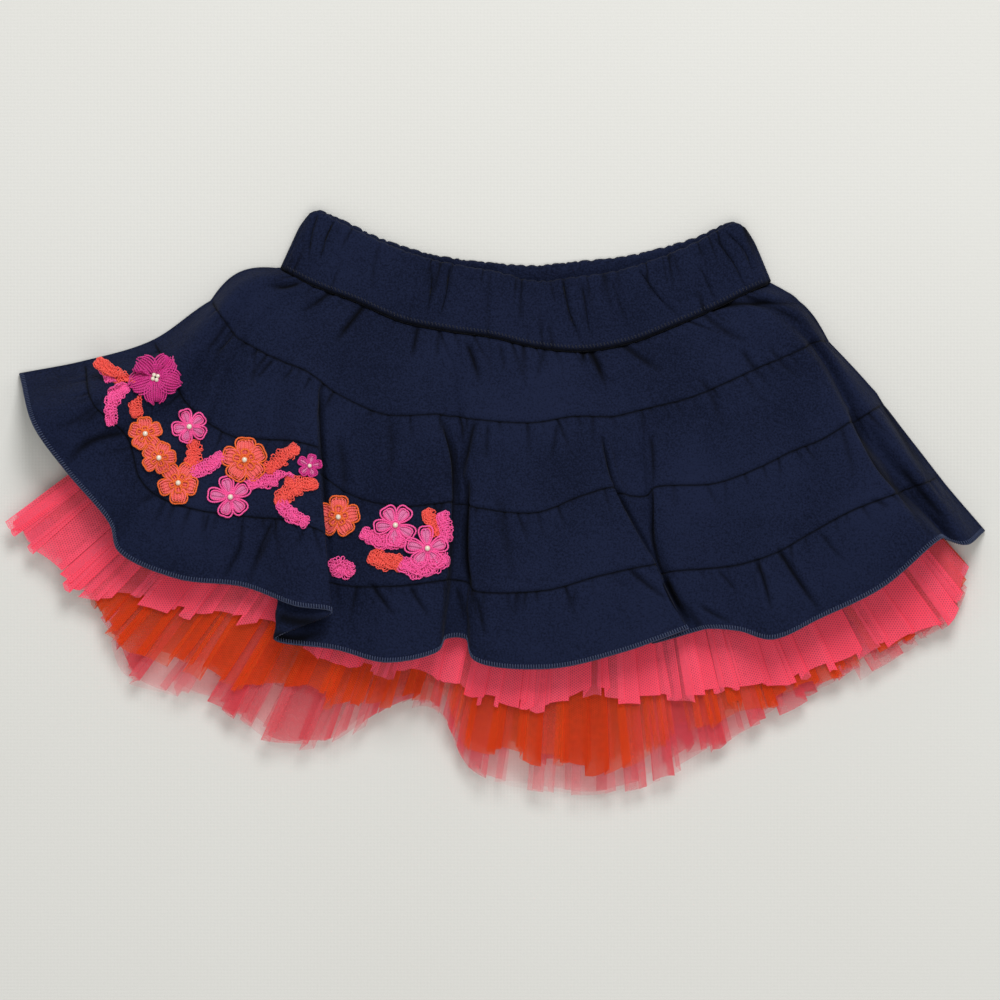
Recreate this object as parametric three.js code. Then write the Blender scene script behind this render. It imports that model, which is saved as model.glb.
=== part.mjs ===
// A toddler's tutu skirt laid flat with its front up.
// Elastic waistband, four gathered tiers of navy crepe, three layers of tulle, and a lace flower spray.
// Millimetres: +X is the viewer's right, +Y runs from the hem to the waistband, +Z is up.
// The back panels rest on z = 0. Every panel is a wall around a middle surface.

import * as THREE from 'three';

// Walls and clearances
const SEAM_GAP = 0.3;
const CREPE_WALL = 1.2;
const BAND_WALL = 2.4;
const TULLE_WALL = 1.0;

// Middle heights of the pressed stack, from the floor up
const TULLE_LAYERS = 6;
const TULLE_PITCH = TULLE_WALL + SEAM_GAP;
const BACK_MID = CREPE_WALL / 2;
const BACK_BAND_MID = BAND_WALL / 2;
const SIDE_MID = CREPE_WALL * 1.5 + SEAM_GAP;
const BAND_SIDE_MID = BAND_WALL * 1.5 + SEAM_GAP;
const FIRST_TULLE_MID = CREPE_WALL + SEAM_GAP + TULLE_WALL / 2;
const WAIST_MID = FIRST_TULLE_MID + TULLE_LAYERS * TULLE_PITCH + (CREPE_WALL - TULLE_WALL) / 2;
const BAND_MOUTH_MID = 6.8;
const SIDE_ROUNDING = 14;

// How much of a fold's full height is reached at the waist, each tier seam and the hem
const RISE = [0, 0.42, 0.72, 0.92, 1];
const TIERS = RISE.length - 1;

// The waistband, one row for each section from left to right
const BAND_SECTIONS = [
  { seam: [-102, 110.6], frontTop: [-88.6, 139.9], backTop: [-88.6, 139.9] },
  { seam: [-87, 103.2], frontTop: [-74, 132], backTop: [-74, 133.6] },
  { seam: [-68, 96], frontTop: [-56.4, 123.6], backTop: [-56.4, 125.2] },
  { seam: [-46, 86.5], frontTop: [-37, 116.4], backTop: [-37, 118.8] },
  { seam: [-24, 82], frontTop: [-18, 112], backTop: [-18, 115] },
  { seam: [-3, 79], frontTop: [1, 108.7], backTop: [1, 113] },
  { seam: [19, 74], frontTop: [18, 104.6], backTop: [18, 112] },
  { seam: [41, 72.2], frontTop: [37, 106.3], backTop: [38, 114] },
  { seam: [63, 76], frontTop: [58.8, 109.7], backTop: [59, 116] },
  { seam: [83, 83.5], frontTop: [77, 115.5], backTop: [77, 120] },
  { seam: [105, 93], frontTop: [95, 123], backTop: [96, 125.8] },
  { seam: [119, 100], frontTop: [108, 130], backTop: [108, 131.4] },
  { seam: [129, 104.4], frontTop: [117, 133.7], backTop: [117, 133.7] },
];

// The front skirt, one row for each fold line from left to right.
// waist is its X on the waist seam, then where it crosses each tier seam and the hem,
// and height is the middle height of the cloth at the hem.
const FRONT_FOLDS = [
  { fold: 'left side', waist: -102, seam1: [-137, 95], seam2: [-165, 76], seam3: [-198, 66], hem: [-229, 60], height: 2.1 },
  { fold: 'first lobe', waist: -97, seam1: [-133, 89], seam2: [-156, 61], seam3: [-193, 46], hem: [-221, 35], height: 27 },
  { fold: 'first valley', waist: -93, seam1: [-128, 82], seam2: [-150, 48], seam3: [-177, 30], hem: [-206, 14], height: 23 },
  { fold: 'second lobe', waist: -90, seam1: [-125, 78], seam2: [-142, 40], seam3: [-171, 11], hem: [-185, -11], height: 30 },
  { fold: 'hem notch', waist: -88, seam1: [-120, 75], seam2: [-137, 36], seam3: [-164, 3], hem: [-181, -24], height: 26 },
  { fold: 'third lobe', waist: -83, seam1: [-113, 71], seam2: [-125, 30], seam3: [-146, -4], hem: [-153, -37], height: 31 },
  { fold: 'gather crease', waist: -77, seam1: [-102, 66], seam2: [-110, 29], seam3: [-118, -8], hem: [-121, -41], height: 28 },
  { fold: 'left lap crest', waist: -71, seam1: [-92, 62], seam2: [-96, 28], seam3: [-98, -10], hem: [-96, -50], height: 37.5 },
  { fold: 'left lap edge', waist: -67, seam1: [-86, 58], seam2: [-86, 25], seam3: [-82, -17], hem: [-79, -53], height: 37 },
  { fold: 'left lap return', waist: -65, seam1: [-80, 53], seam2: [-94, 24], seam3: [-103, -29], hem: [-106, -66], height: 31.5 },
  { fold: 'left lap floor', waist: -61, seam1: [-75, 50], seam2: [-73, 4], seam3: [-77, -40], hem: [-77, -71], height: 26.5 },
  { fold: 'fourth lobe', waist: -44, seam1: [-54, 41], seam2: [-47, -3], seam3: [-49, -41], hem: [-53, -77], height: 31 },
  { fold: 'pleat left edge', waist: -32, seam1: [-28, 41], seam2: [-22, -1], seam3: [-24, -38], hem: [-29, -72], height: 33 },
  { fold: 'pleat floor left', waist: -29, seam1: [-23, 40], seam2: [-19, -2], seam3: [-21, -38], hem: [-25, -66], height: 26.5 },
  { fold: 'pleat floor right', waist: -25, seam1: [-19, 40], seam2: [-16, -2], seam3: [-15, -39], hem: [-15, -66], height: 26.5 },
  { fold: 'pleat right edge', waist: -21, seam1: [-14, 39], seam2: [-13, -3], seam3: [-12, -43], hem: [-11, -76], height: 32.5 },
  { fold: 'middle lobe', waist: 4, seam1: [16, 37], seam2: [18, -6], seam3: [23, -43], hem: [24, -80], height: 34 },
  { fold: 'middle right', waist: 25, seam1: [36, 40], seam2: [40, 2], seam3: [49, -36], hem: [60, -72], height: 35 },
  { fold: 'right lap edge', waist: 40, seam1: [49, 40], seam2: [55, 6], seam3: [76, -31], hem: [91, -61], height: 33.5 },
  { fold: 'right lap return', waist: 44, seam1: [55, 40], seam2: [60, 3], seam3: [68, -36], hem: [74, -68], height: 29 },
  { fold: 'right lap floor', waist: 49, seam1: [64, 42], seam2: [71, 2], seam3: [79, -35], hem: [96, -62], height: 26.5 },
  { fold: 'facing edge', waist: 55, seam1: [72, 44], seam2: [75, 6], seam3: [83, -34], hem: [100, -61], height: 30 },
  { fold: 'right hollow', waist: 68, seam1: [92, 49], seam2: [104, 8], seam3: [114, -31], hem: [115, -62], height: 29 },
  { fold: 'fifth lobe', waist: 82, seam1: [109, 56], seam2: [126, 16], seam3: [133, -25], hem: [131, -66], height: 33 },
  { fold: 'right crease', waist: 92, seam1: [124, 63], seam2: [140, 23], seam3: [149, -16], hem: [154, -56], height: 30 },
  { fold: 'sixth lobe', waist: 103, seam1: [136, 68], seam2: [155, 29], seam3: [169, -5], hem: [184, -41], height: 34 },
  { fold: 'side pleat edge', waist: 113, seam1: [147, 73], seam2: [168, 37], seam3: [190, 3], hem: [210, -19], height: 32 },
  { fold: 'side pleat floor', waist: 117, seam1: [150, 75], seam2: [172, 38], seam3: [195, 5], hem: [216, -19], height: 14 },
  { fold: 'side flap', waist: 122, seam1: [154, 76], seam2: [178, 42], seam3: [204, 8], hem: [224, -21], height: 18 },
  { fold: 'right side', waist: 129, seam1: [158, 76], seam2: [185, 46], seam3: [211, 11], hem: [233, -15], height: 2.1 },
];
const STEPS_PER_FOLD = 2;
const RINGS_PER_TIER = 3;

// Below the waist seam the side folds puff out past the straight line to the first tier seam
const LEFT_SHOULDER = { bulge: [-2.5, 6], reach: 0.2 };
const RIGHT_SHOULDER = { bulge: [2.5, 3], reach: 0.12 };

// A tier stops this share of its depth short of each seam, 0.3 mm or more on every tier
const SEAM_SHARE = 0.01;

// The back skirt is cut as the front and lies flat, with its hem drawn up out of sight
const BACK_FOLDS = [
  'left side', 'second lobe', 'third lobe', 'fourth lobe', 'middle lobe',
  'right hollow', 'fifth lobe', 'sixth lobe', 'right side',
];
const BACK_HEM_SHARE = 0.7;
const BACK_STEPS_PER_FOLD = 5;

// The tulle fan, one row for each ray from left to right: its outermost tip,
// and the share of the way to it that each layer's hem reaches
const TULLE_RAYS = [
  { tip: [-233, -8], upper: 1, middle: 0.92, under: 0.95 },
  { tip: [-222, -24], upper: 1, middle: 0.93, under: 0.96 },
  { tip: [-203, -43], upper: 1, middle: 0.97, under: 0.96 },
  { tip: [-190, -62], upper: 0.9, middle: 1, under: 0.97 },
  { tip: [-177, -81], upper: 0.83, middle: 0.94, under: 1 },
  { tip: [-155, -92], upper: 0.8, middle: 0.93, under: 1 },
  { tip: [-131, -101], upper: 0.76, middle: 0.945, under: 1 },
  { tip: [-104, -115], upper: 0.79, middle: 0.88, under: 1 },
  { tip: [-78, -115], upper: 0.81, middle: 0.9, under: 1 },
  { tip: [-52, -99], upper: 0.91, middle: 0.98, under: 1 },
  { tip: [-30, -100], upper: 0.93, middle: 0.97, under: 1 },
  { tip: [-14, -128], upper: 0.83, middle: 0.95, under: 1 },
  { tip: [14, -138], upper: 0.81, middle: 0.93, under: 1 },
  { tip: [47, -141], upper: 0.76, middle: 0.94, under: 1 },
  { tip: [80, -131], upper: 0.82, middle: 0.92, under: 1 },
  { tip: [112, -114], upper: 0.88, middle: 0.93, under: 1 },
  { tip: [138, -98], upper: 0.95, middle: 0.97, under: 1 },
  { tip: [170, -84], upper: 0.96, middle: 0.97, under: 1 },
  { tip: [198, -69], upper: 0.98, middle: 0.96, under: 1 },
  { tip: [217, -57], upper: 0.99, middle: 0.96, under: 1 },
  { tip: [229, -35], upper: 1, middle: 0.96, under: 0.98 },
];
const FAN_LEFT = -88;
const FAN_RIGHT = 115;
const FAN_DROP = 3;

// The fan's height above the pressed stack and the depth of its pleats, by share of the way to the tips
const FAN_PROFILE = [
  { share: 0, lift: 0, pleat: 0 },
  { share: 0.3, lift: 8, pleat: 1 },
  { share: 0.62, lift: 12, pleat: 2 },
  { share: 0.8, lift: 9, pleat: 3 },
  { share: 1, lift: 3, pleat: 3.4 },
];
const FAN_SIDE_POWER = 0.6;

// The six tulle panels from the floor up. follow is how far a panel takes part in the fan's height.
const TULLE_PANELS = [
  { name: 'tulle_upper_back', hem: 'upper', follow: 0, pleats: 14, reach: -3, colour: 0xf0506e },
  { name: 'tulle_middle_back', hem: 'middle', follow: 0, pleats: 14, reach: -2, colour: 0xe85a26 },
  { name: 'tulle_under_back', hem: 'under', follow: 0.05, pleats: 14, reach: -1, colour: 0xf58c98 },
  { name: 'tulle_under_front', hem: 'under', follow: 0.8, pleats: 28, reach: 0, colour: 0xf58c98 },
  { name: 'tulle_middle_front', hem: 'middle', follow: 0.9, pleats: 28, reach: 0, colour: 0xe85a26 },
  { name: 'tulle_upper_front', hem: 'upper', follow: 1, pleats: 28, reach: 0, colour: 0xf0506e },
];
const STEPS_PER_PLEAT = 4;
const BACK_STEPS_PER_PLEAT = 3;
const FRONT_FAN_SHARES = [0, 0.3, 0.62];
const BACK_FAN_SHARES = [0, 0.5];
const HEM_SWING = 1.6;
const PLEAT_UNEVENNESS = 0.22;

// Waistband gathers
const BAND_GATHERS = 14;
const BAND_GATHER_DEPTH = 0.5;
const BAND_RINGS = [0, 0.5, 1];
const BACK_BAND_STEPS = 48;

// The lace spray on the front, at its height above the cloth
const LACE_GAP = 0.35;
const PETAL_THICKNESS = 1.5;
const HEART_THICKNESS = 2.1;
const SPRIG_THICKNESS = 1.3;
const SPRIG_WIDTH = 5.4;
const SPRIG_LOBE_PITCH = 5;
const PETALS = 5;
const PETAL_DEPTH = 0.34;
const STEPS_PER_PETAL = 4;
const MAGENTA = 0xc2186e;
const PINK = 0xf0509a;
const ORANGE = 0xe2561c;
const CORAL = 0xf0485a;

const FLOWERS = [
  { at: [-165, 59], radius: 11.5, turn: 10, colour: MAGENTA },
  { at: [-148, 36], radius: 7, turn: 40, colour: PINK },
  { at: [-168.5, 32.5], radius: 6.6, turn: 25, colour: ORANGE },
  { at: [-161.5, 19.5], radius: 6.4, turn: 0, colour: ORANGE },
  { at: [-154, 6], radius: 7.6, turn: 55, colour: ORANGE },
  { at: [-121, 19.5], radius: 10.4, turn: 18, colour: ORANGE },
  { at: [-127.5, 0], radius: 8.4, turn: 30, colour: PINK },
  { at: [-93, 17], radius: 5, turn: 5, colour: PINK },
  { at: [-72.5, -8.5], radius: 8.4, turn: 12, colour: ORANGE },
  { at: [-49, -10.5], radius: 8.8, turn: 48, colour: PINK },
  { at: [-33.5, -22.5], radius: 10, turn: 22, colour: PINK },
];

const SPRIGS = [
  { from: [-191.5, 67.5], bend: [-181, 60], to: [-177.5, 46], colour: CORAL },
  { from: [-186, 51], bend: [-187, 43], to: [-183, 34.5], colour: PINK },
  { from: [-146, 26], bend: [-143, 20], to: [-137, 15], colour: CORAL },
  { from: [-108.5, 18.5], bend: [-101, 20], to: [-94.5, 25.5], colour: CORAL },
  { from: [-115, 5], bend: [-108, 9], to: [-100, 10.5], colour: PINK },
  { from: [-98, 3.5], bend: [-93, 6.5], to: [-88.5, 7.5], colour: CORAL },
  { from: [-102, 1], bend: [-97, -6.5], to: [-91, -11.5], colour: PINK },
  { from: [-78, -34], bend: [-73, -33.5], to: [-68.5, -32.5], colour: PINK },
  { from: [-66, -14.5], bend: [-62, -17.5], to: [-57, -20], colour: PINK },
  { from: [-61.5, -27.5], bend: [-54, -29.5], to: [-47, -30], colour: CORAL },
  { from: [-35.5, -5], bend: [-28, -8], to: [-24, -14], colour: CORAL },
];

const NAVY = 0x1a2233;
const NAVY_BACK = 0x151c2b;

const { lerp } = THREE.MathUtils;
const xy = ([x, y]) => new THREE.Vector2(x, y);

// A quarter ellipse from 0 at the side fold to 1 where the panel lies level
function sideRise(distance) {
  const left = 1 - Math.min(Math.max(distance, 0) / SIDE_ROUNDING, 1);
  return Math.sqrt(1 - left * left);
}

// An even but irregular-looking value from -1 to 1 for a whole number and a seed
function uneven(count, seed) {
  return Math.sin(count * 2.4 + seed * 1.7) * Math.cos(count * 0.9 - seed);
}

// The direction towards the hem at every point, from the rings above and below it
function hemward(rings) {
  return rings.map((ring, index) => {
    const above = rings[Math.max(index - 1, 0)];
    const below = rings[Math.min(index + 1, rings.length - 1)];
    return ring.map((point, column) => new THREE.Vector3().subVectors(below[column], above[column]));
  });
}

// A closed wall around a grid of middle points, rings from waist to hem, columns from left to right
function wall(rings, thickness, down = hemward(rings)) {
  const ringCount = rings.length;
  const columnCount = rings[0].length;
  const positions = [];
  const along = new THREE.Vector3();
  for (const side of [1, -1]) {
    for (let ring = 0; ring < ringCount; ring += 1) {
      for (let column = 0; column < columnCount; column += 1) {
        const left = rings[ring][Math.max(column - 1, 0)];
        const right = rings[ring][Math.min(column + 1, columnCount - 1)];
        along.subVectors(right, left);
        const normal = new THREE.Vector3().crossVectors(down[ring][column], along).normalize();
        positions.push(...rings[ring][column].clone().addScaledVector(normal, side * thickness / 2));
      }
    }
  }
  const half = ringCount * columnCount;
  const top = (ring, column) => ring * columnCount + column;
  const under = (ring, column) => half + top(ring, column);
  const faces = [];
  const quad = (a, b, c, d) => faces.push(a, b, c, a, c, d);
  for (let ring = 0; ring + 1 < ringCount; ring += 1) {
    for (let column = 0; column + 1 < columnCount; column += 1) {
      quad(top(ring, column), top(ring + 1, column), top(ring + 1, column + 1), top(ring, column + 1));
      quad(under(ring, column), under(ring, column + 1), under(ring + 1, column + 1), under(ring + 1, column));
    }
    const last = columnCount - 1;
    quad(top(ring + 1, 0), top(ring, 0), under(ring, 0), under(ring + 1, 0));
    quad(top(ring, last), top(ring + 1, last), under(ring + 1, last), under(ring, last));
  }
  for (let column = 0; column + 1 < columnCount; column += 1) {
    const last = ringCount - 1;
    quad(top(0, column), top(0, column + 1), under(0, column + 1), under(0, column));
    quad(top(last, column + 1), top(last, column), under(last, column), under(last, column + 1));
  }
  return geometryOf(positions, faces);
}

function geometryOf(positions, faces) {
  const geometry = new THREE.BufferGeometry();
  geometry.setAttribute('position', new THREE.Float32BufferAttribute(positions, 3));
  geometry.setIndex(faces);
  geometry.computeVertexNormals();
  return geometry;
}

const skirt = new THREE.Group();

function piece(name, geometry, colour, roughness = 0.9) {
  const material = new THREE.MeshStandardMaterial({ color: colour, roughness, metalness: 0 });
  const mesh = new THREE.Mesh(geometry, material);
  mesh.name = name;
  skirt.add(mesh);
}

// Waist seam, shared by the band, the tiers and the tulle
const bandCurve = (edge) => new THREE.SplineCurve(BAND_SECTIONS.map((section) => xy(section[edge])));
const bandCurves = { seam: bandCurve('seam'), frontTop: bandCurve('frontTop'), backTop: bandCurve('backTop') };
const waistLine = bandCurves.seam.getPoints(120);
const WAIST_LEFT = waistLine[0].x;
const WAIST_RIGHT = waistLine[waistLine.length - 1].x;

function waistPoint(x) {
  const reached = waistLine.findIndex((point) => point.x >= x);
  const next = reached < 0 ? waistLine.length - 1 : Math.max(reached, 1);
  const before = waistLine[next - 1];
  const after = waistLine[next];
  return new THREE.Vector2(x, lerp(before.y, after.y, (x - before.x) / (after.x - before.x)));
}

const waistSideDistance = (x) => Math.min(x - WAIST_LEFT, WAIST_RIGHT - x);

function bandRings(topEdge, steps, heightOf) {
  return BAND_RINGS.map((share) => {
    const ring = [];
    for (let step = 0; step <= steps; step += 1) {
      const seam = bandCurves.seam.getPoint(step / steps);
      const top = bandCurves[topEdge].getPoint(step / steps);
      const clear = SEAM_GAP / seam.distanceTo(top);
      const point = seam.clone().lerp(top, lerp(clear, 1, 1 - share));
      ring.push(new THREE.Vector3(point.x, point.y, heightOf(seam.x, 1 - share, step / steps)));
    }
    return ring;
  });
}

function frontBandHeight(seamX, upShare, acrossShare) {
  const level = lerp(WAIST_MID, BAND_MOUTH_MID, upShare);
  const gather = Math.cos(acrossShare * BAND_GATHERS * 2 * Math.PI) * BAND_GATHER_DEPTH;
  return BAND_SIDE_MID + (level + gather - BAND_SIDE_MID) * sideRise(waistSideDistance(seamX));
}

piece('waistband_front', wall(bandRings('frontTop', BAND_GATHERS * 4, frontBandHeight), BAND_WALL), NAVY);
piece('waistband_back', wall(bandRings('backTop', BACK_BAND_STEPS, () => BACK_BAND_MID), BAND_WALL), NAVY_BACK);

// Front tiers
function foldPoint(row, level) {
  const waist = waistPoint(row.waist);
  const [x, y] = [waist, row.seam1, row.seam2, row.seam3, row.hem][level];
  const waistHeight = SIDE_MID + (WAIST_MID - SIDE_MID) * sideRise(waistSideDistance(row.waist));
  return new THREE.Vector3(x, y, lerp(waistHeight, row.height, RISE[level]));
}

function smoothThrough(points) {
  return new THREE.CatmullRomCurve3(points, false, 'centripetal');
}

// How far a point of the first tier is pushed out at either side
function shoulder(across, level) {
  const [{ bulge, reach }, inward] = across < 0.5 ? [LEFT_SHOULDER, across] : [RIGHT_SHOULDER, 1 - across];
  const amount = Math.sin(Math.PI * Math.min(level, 1)) * Math.max(1 - inward / reach, 0);
  return new THREE.Vector3(bulge[0] * amount, bulge[1] * amount, 0);
}

// A wall between two levels, on the smooth surface through every fold line
function tierWall(levelCurves, columnCount, fromLevel, toLevel, ringCount) {
  const rings = Array.from({ length: ringCount }, () => []);
  const down = Array.from({ length: ringCount }, () => []);
  for (let column = 0; column < columnCount; column += 1) {
    const crossings = levelCurves.map((curve) => curve.getPoint(column / (columnCount - 1)));
    crossings[0].y = waistPoint(crossings[0].x).y;
    const foldLine = smoothThrough(crossings);
    rings.forEach((ring, index) => {
      const level = lerp(fromLevel, toLevel, index / (ringCount - 1));
      ring.push(foldLine.getPoint(level / TIERS).add(shoulder(column / (columnCount - 1), level)));
      down[index].push(foldLine.getTangent(level / TIERS));
    });
  }
  return wall(rings, CREPE_WALL, down);
}

const levels = RISE.map((rise, level) => level);
const frontCurves = levels.map((level) => smoothThrough(FRONT_FOLDS.map((row) => foldPoint(row, level))));
const frontColumns = (FRONT_FOLDS.length - 1) * STEPS_PER_FOLD + 1;

function backPoint(row, level) {
  const point = foldPoint(row, level);
  if (level === TIERS) {
    point.lerpVectors(foldPoint(row, TIERS - 1), point, BACK_HEM_SHARE);
  }
  return point.setZ(BACK_MID);
}

const backRows = FRONT_FOLDS.filter((row) => BACK_FOLDS.includes(row.fold));
const backCurves = levels.map((level) => smoothThrough(backRows.map((row) => backPoint(row, level))));
const backColumns = (backRows.length - 1) * BACK_STEPS_PER_FOLD + 1;

for (let tier = 0; tier < TIERS; tier += 1) {
  const from = tier + SEAM_SHARE;
  const to = tier + 1 < TIERS ? tier + 1 - SEAM_SHARE : TIERS;
  piece(`tier_${tier + 1}_front`, tierWall(frontCurves, frontColumns, from, to, RINGS_PER_TIER), NAVY);
  piece(`tier_${tier + 1}_back`, tierWall(backCurves, backColumns, from, to, 2), NAVY_BACK);
}

// Tulle
function fanProfile(share, value) {
  const next = Math.max(FAN_PROFILE.findIndex((row) => row.share >= share), 1);
  const before = FAN_PROFILE[next - 1];
  const after = FAN_PROFILE[next];
  return lerp(before[value], after[value], (share - before.share) / (after.share - before.share));
}

const tipCurve = new THREE.SplineCurve(TULLE_RAYS.map((ray) => xy(ray.tip)));

function rayShare(across, hem) {
  const place = across * (TULLE_RAYS.length - 1);
  const before = Math.min(Math.floor(place), TULLE_RAYS.length - 2);
  return lerp(TULLE_RAYS[before][hem], TULLE_RAYS[before + 1][hem], place - before);
}

function fanStart(across) {
  const start = waistPoint(lerp(FAN_LEFT, FAN_RIGHT, across));
  return start.setY(start.y - FAN_DROP);
}

// Evenly numbered pleats, unevenly spread: whole numbers are valleys
function pleatPhase(across, pleats) {
  return across * pleats + PLEAT_UNEVENNESS * Math.sin(across * pleats * 1.9);
}

function tulleRings(panel, layer) {
  const onBack = panel.follow < 0.5;
  const columns = panel.pleats * (onBack ? BACK_STEPS_PER_PLEAT : STEPS_PER_PLEAT);
  const shares = [...(onBack ? BACK_FAN_SHARES : FRONT_FAN_SHARES), null];
  const baseMid = FIRST_TULLE_MID + layer * TULLE_PITCH;
  return shares.map((share) => {
    const ring = [];
    for (let column = 0; column <= columns; column += 1) {
      const across = column / columns;
      const start = fanStart(across);
      const tip = tipCurve.getPoint(across);
      const phase = pleatPhase(across, panel.pleats);
      const swing = HEM_SWING * uneven(Math.floor(phase), layer);
      const hemShare = rayShare(across, panel.hem) + (panel.reach + swing) / start.distanceTo(tip);
      const here = share ?? hemShare;
      const point = start.clone().lerp(tip, here);
      const pleat = 0.5 - 0.5 * Math.cos(phase * 2 * Math.PI);
      const rise = fanProfile(Math.min(here, 1), 'lift') + fanProfile(Math.min(here, 1), 'pleat') * pleat;
      const side = Math.sin(Math.PI * across) ** FAN_SIDE_POWER;
      ring.push(new THREE.Vector3(point.x, point.y, baseMid + panel.follow * side * rise));
    }
    return ring;
  });
}

TULLE_PANELS.forEach((panel, layer) => {
  piece(panel.name, wall(tulleRings(panel, layer), TULLE_WALL), panel.colour, 0.8);
});

// The lace lies on the front's outer surface, found by looking straight down on the whole front
const wholeFront = tierWall(frontCurves, frontColumns, 0, TIERS, TIERS * (RINGS_PER_TIER - 1) + 1);
const frontSurface = new THREE.Mesh(wholeFront);
const sight = new THREE.Raycaster();
const ABOVE_ALL = 100;
const DOWN = new THREE.Vector3(0, 0, -1);

function clothHeight(point) {
  sight.set(new THREE.Vector3(point.x, point.y, ABOVE_ALL), DOWN);
  return sight.intersectObject(frontSurface)[0].point.z;
}

// A solid over flat faces: its underside follows the cloth and its top is raised by each point's thickness.
// It is seated clear of the cloth at every corner, and in the middle of every face and edge.
function laceSolid(points, faces, rim) {
  const heights = points.map(({ place }) => clothHeight(place));
  let seat = 0;
  for (const [a, b, c] of faces) {
    for (const corners of [[a, b, c], [a, b], [b, c], [c, a]]) {
      const middle = new THREE.Vector2();
      corners.forEach((corner) => middle.addScaledVector(points[corner].place, 1 / corners.length));
      const level = corners.reduce((sum, corner) => sum + heights[corner], 0) / corners.length;
      seat = Math.max(seat, clothHeight(middle) - level);
    }
  }
  const positions = [];
  const clear = LACE_GAP + seat;
  points.forEach(({ place, thickness }, index) => {
    positions.push(place.x, place.y, heights[index] + clear + thickness);
  });
  points.forEach(({ place }, index) => {
    positions.push(place.x, place.y, heights[index] + clear);
  });
  const indices = [];
  for (const [a, b, c] of faces) {
    indices.push(a, b, c, a + points.length, c + points.length, b + points.length);
  }
  rim.forEach((corner, index) => {
    const next = rim[(index + 1) % rim.length];
    indices.push(corner, corner + points.length, next + points.length);
    indices.push(corner, next + points.length, next);
  });
  return geometryOf(positions, indices);
}

// Five petals: a heart, a ring across the petals and the outline
function flower({ at, radius, turn }) {
  const around = PETALS * STEPS_PER_PETAL;
  const centre = xy(at);
  const points = [{ place: centre, thickness: HEART_THICKNESS }];
  for (const share of [0.45, 1]) {
    for (let step = 0; step < around; step += 1) {
      const angle = THREE.MathUtils.degToRad(turn) + step / around * 2 * Math.PI;
      const petal = Math.abs(Math.sin(step / STEPS_PER_PETAL * Math.PI));
      const reach = radius * share * (1 - PETAL_DEPTH * share * (1 - petal));
      const place = centre.clone().add(new THREE.Vector2(Math.cos(angle), Math.sin(angle)).multiplyScalar(reach));
      points.push({ place, thickness: PETAL_THICKNESS * lerp(0.7, 1, petal) });
    }
  }
  const inner = (step) => 1 + step % around;
  const outer = (step) => 1 + around + step % around;
  const faces = [];
  const rim = [];
  for (let step = 0; step < around; step += 1) {
    faces.push([0, inner(step), inner(step + 1)]);
    faces.push([inner(step), outer(step), outer(step + 1)]);
    faces.push([inner(step), outer(step + 1), inner(step + 1)]);
    rim.push(outer(step));
  }
  return laceSolid(points, faces, rim);
}

// A bent sprig with lobes along both edges, pointed at its ends
function sprig({ from, bend, to }) {
  const spine = new THREE.SplineCurve([xy(from), xy(bend), xy(to)]);
  const lobes = Math.max(Math.round(spine.getLength() / SPRIG_LOBE_PITCH), 2);
  const stations = lobes * 3;
  const points = [];
  for (let station = 0; station <= stations; station += 1) {
    const share = station / stations;
    const place = spine.getPoint(share);
    const tangent = spine.getTangent(share);
    const lobe = Math.abs(Math.sin(share * lobes * Math.PI));
    const taper = Math.sqrt(Math.sin(Math.PI * lerp(0.08, 0.92, share)));
    const halfWidth = SPRIG_WIDTH / 2 * taper * lerp(0.6, 1, lobe);
    const across = new THREE.Vector2(-tangent.y, tangent.x).multiplyScalar(halfWidth);
    points.push({ place: place.clone().add(across), thickness: SPRIG_THICKNESS * 0.7 });
    points.push({ place, thickness: SPRIG_THICKNESS });
    points.push({ place: place.clone().sub(across), thickness: SPRIG_THICKNESS * 0.7 });
  }
  const faces = [];
  for (let station = 0; station < stations; station += 1) {
    const [left, middle, right] = [station * 3, station * 3 + 1, station * 3 + 2];
    faces.push([left, middle, middle + 3], [left, middle + 3, left + 3]);
    faces.push([middle, right, right + 3], [middle, right + 3, middle + 3]);
  }
  const rightEdge = Array.from({ length: stations + 1 }, (none, station) => station * 3 + 2);
  const leftEdge = Array.from({ length: stations + 1 }, (none, station) => station * 3).reverse();
  const rim = [1, ...rightEdge, stations * 3 + 1, ...leftEdge];
  return laceSolid(points, faces, rim);
}

FLOWERS.forEach((row, index) => piece(`flower_${index + 1}`, flower(row), row.colour));
SPRIGS.forEach((row, index) => piece(`sprig_${index + 1}`, sprig(row), row.colour));

// The origin is the middle of the whole outline, on the floor
const middle = new THREE.Box3().setFromObject(skirt).getCenter(new THREE.Vector3());
skirt.position.set(-middle.x, -middle.y, 0);

export default skirt;
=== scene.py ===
"""A toddler's tutu skirt laid flat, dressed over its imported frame.

Elastic waistband, four gathered tiers of navy crepe, three layers of net, and a lace flower spray.
The tables are the frame's own, in millimetres: +X is the viewer's right, +Y runs from hem to waistband.
"""

import logging
import math
from dataclasses import dataclass, field
from enum import Enum
from functools import partial
from typing import Callable, Sequence

import bpy
import numpy as np
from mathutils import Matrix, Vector
from mathutils.bvhtree import BVHTree


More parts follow.
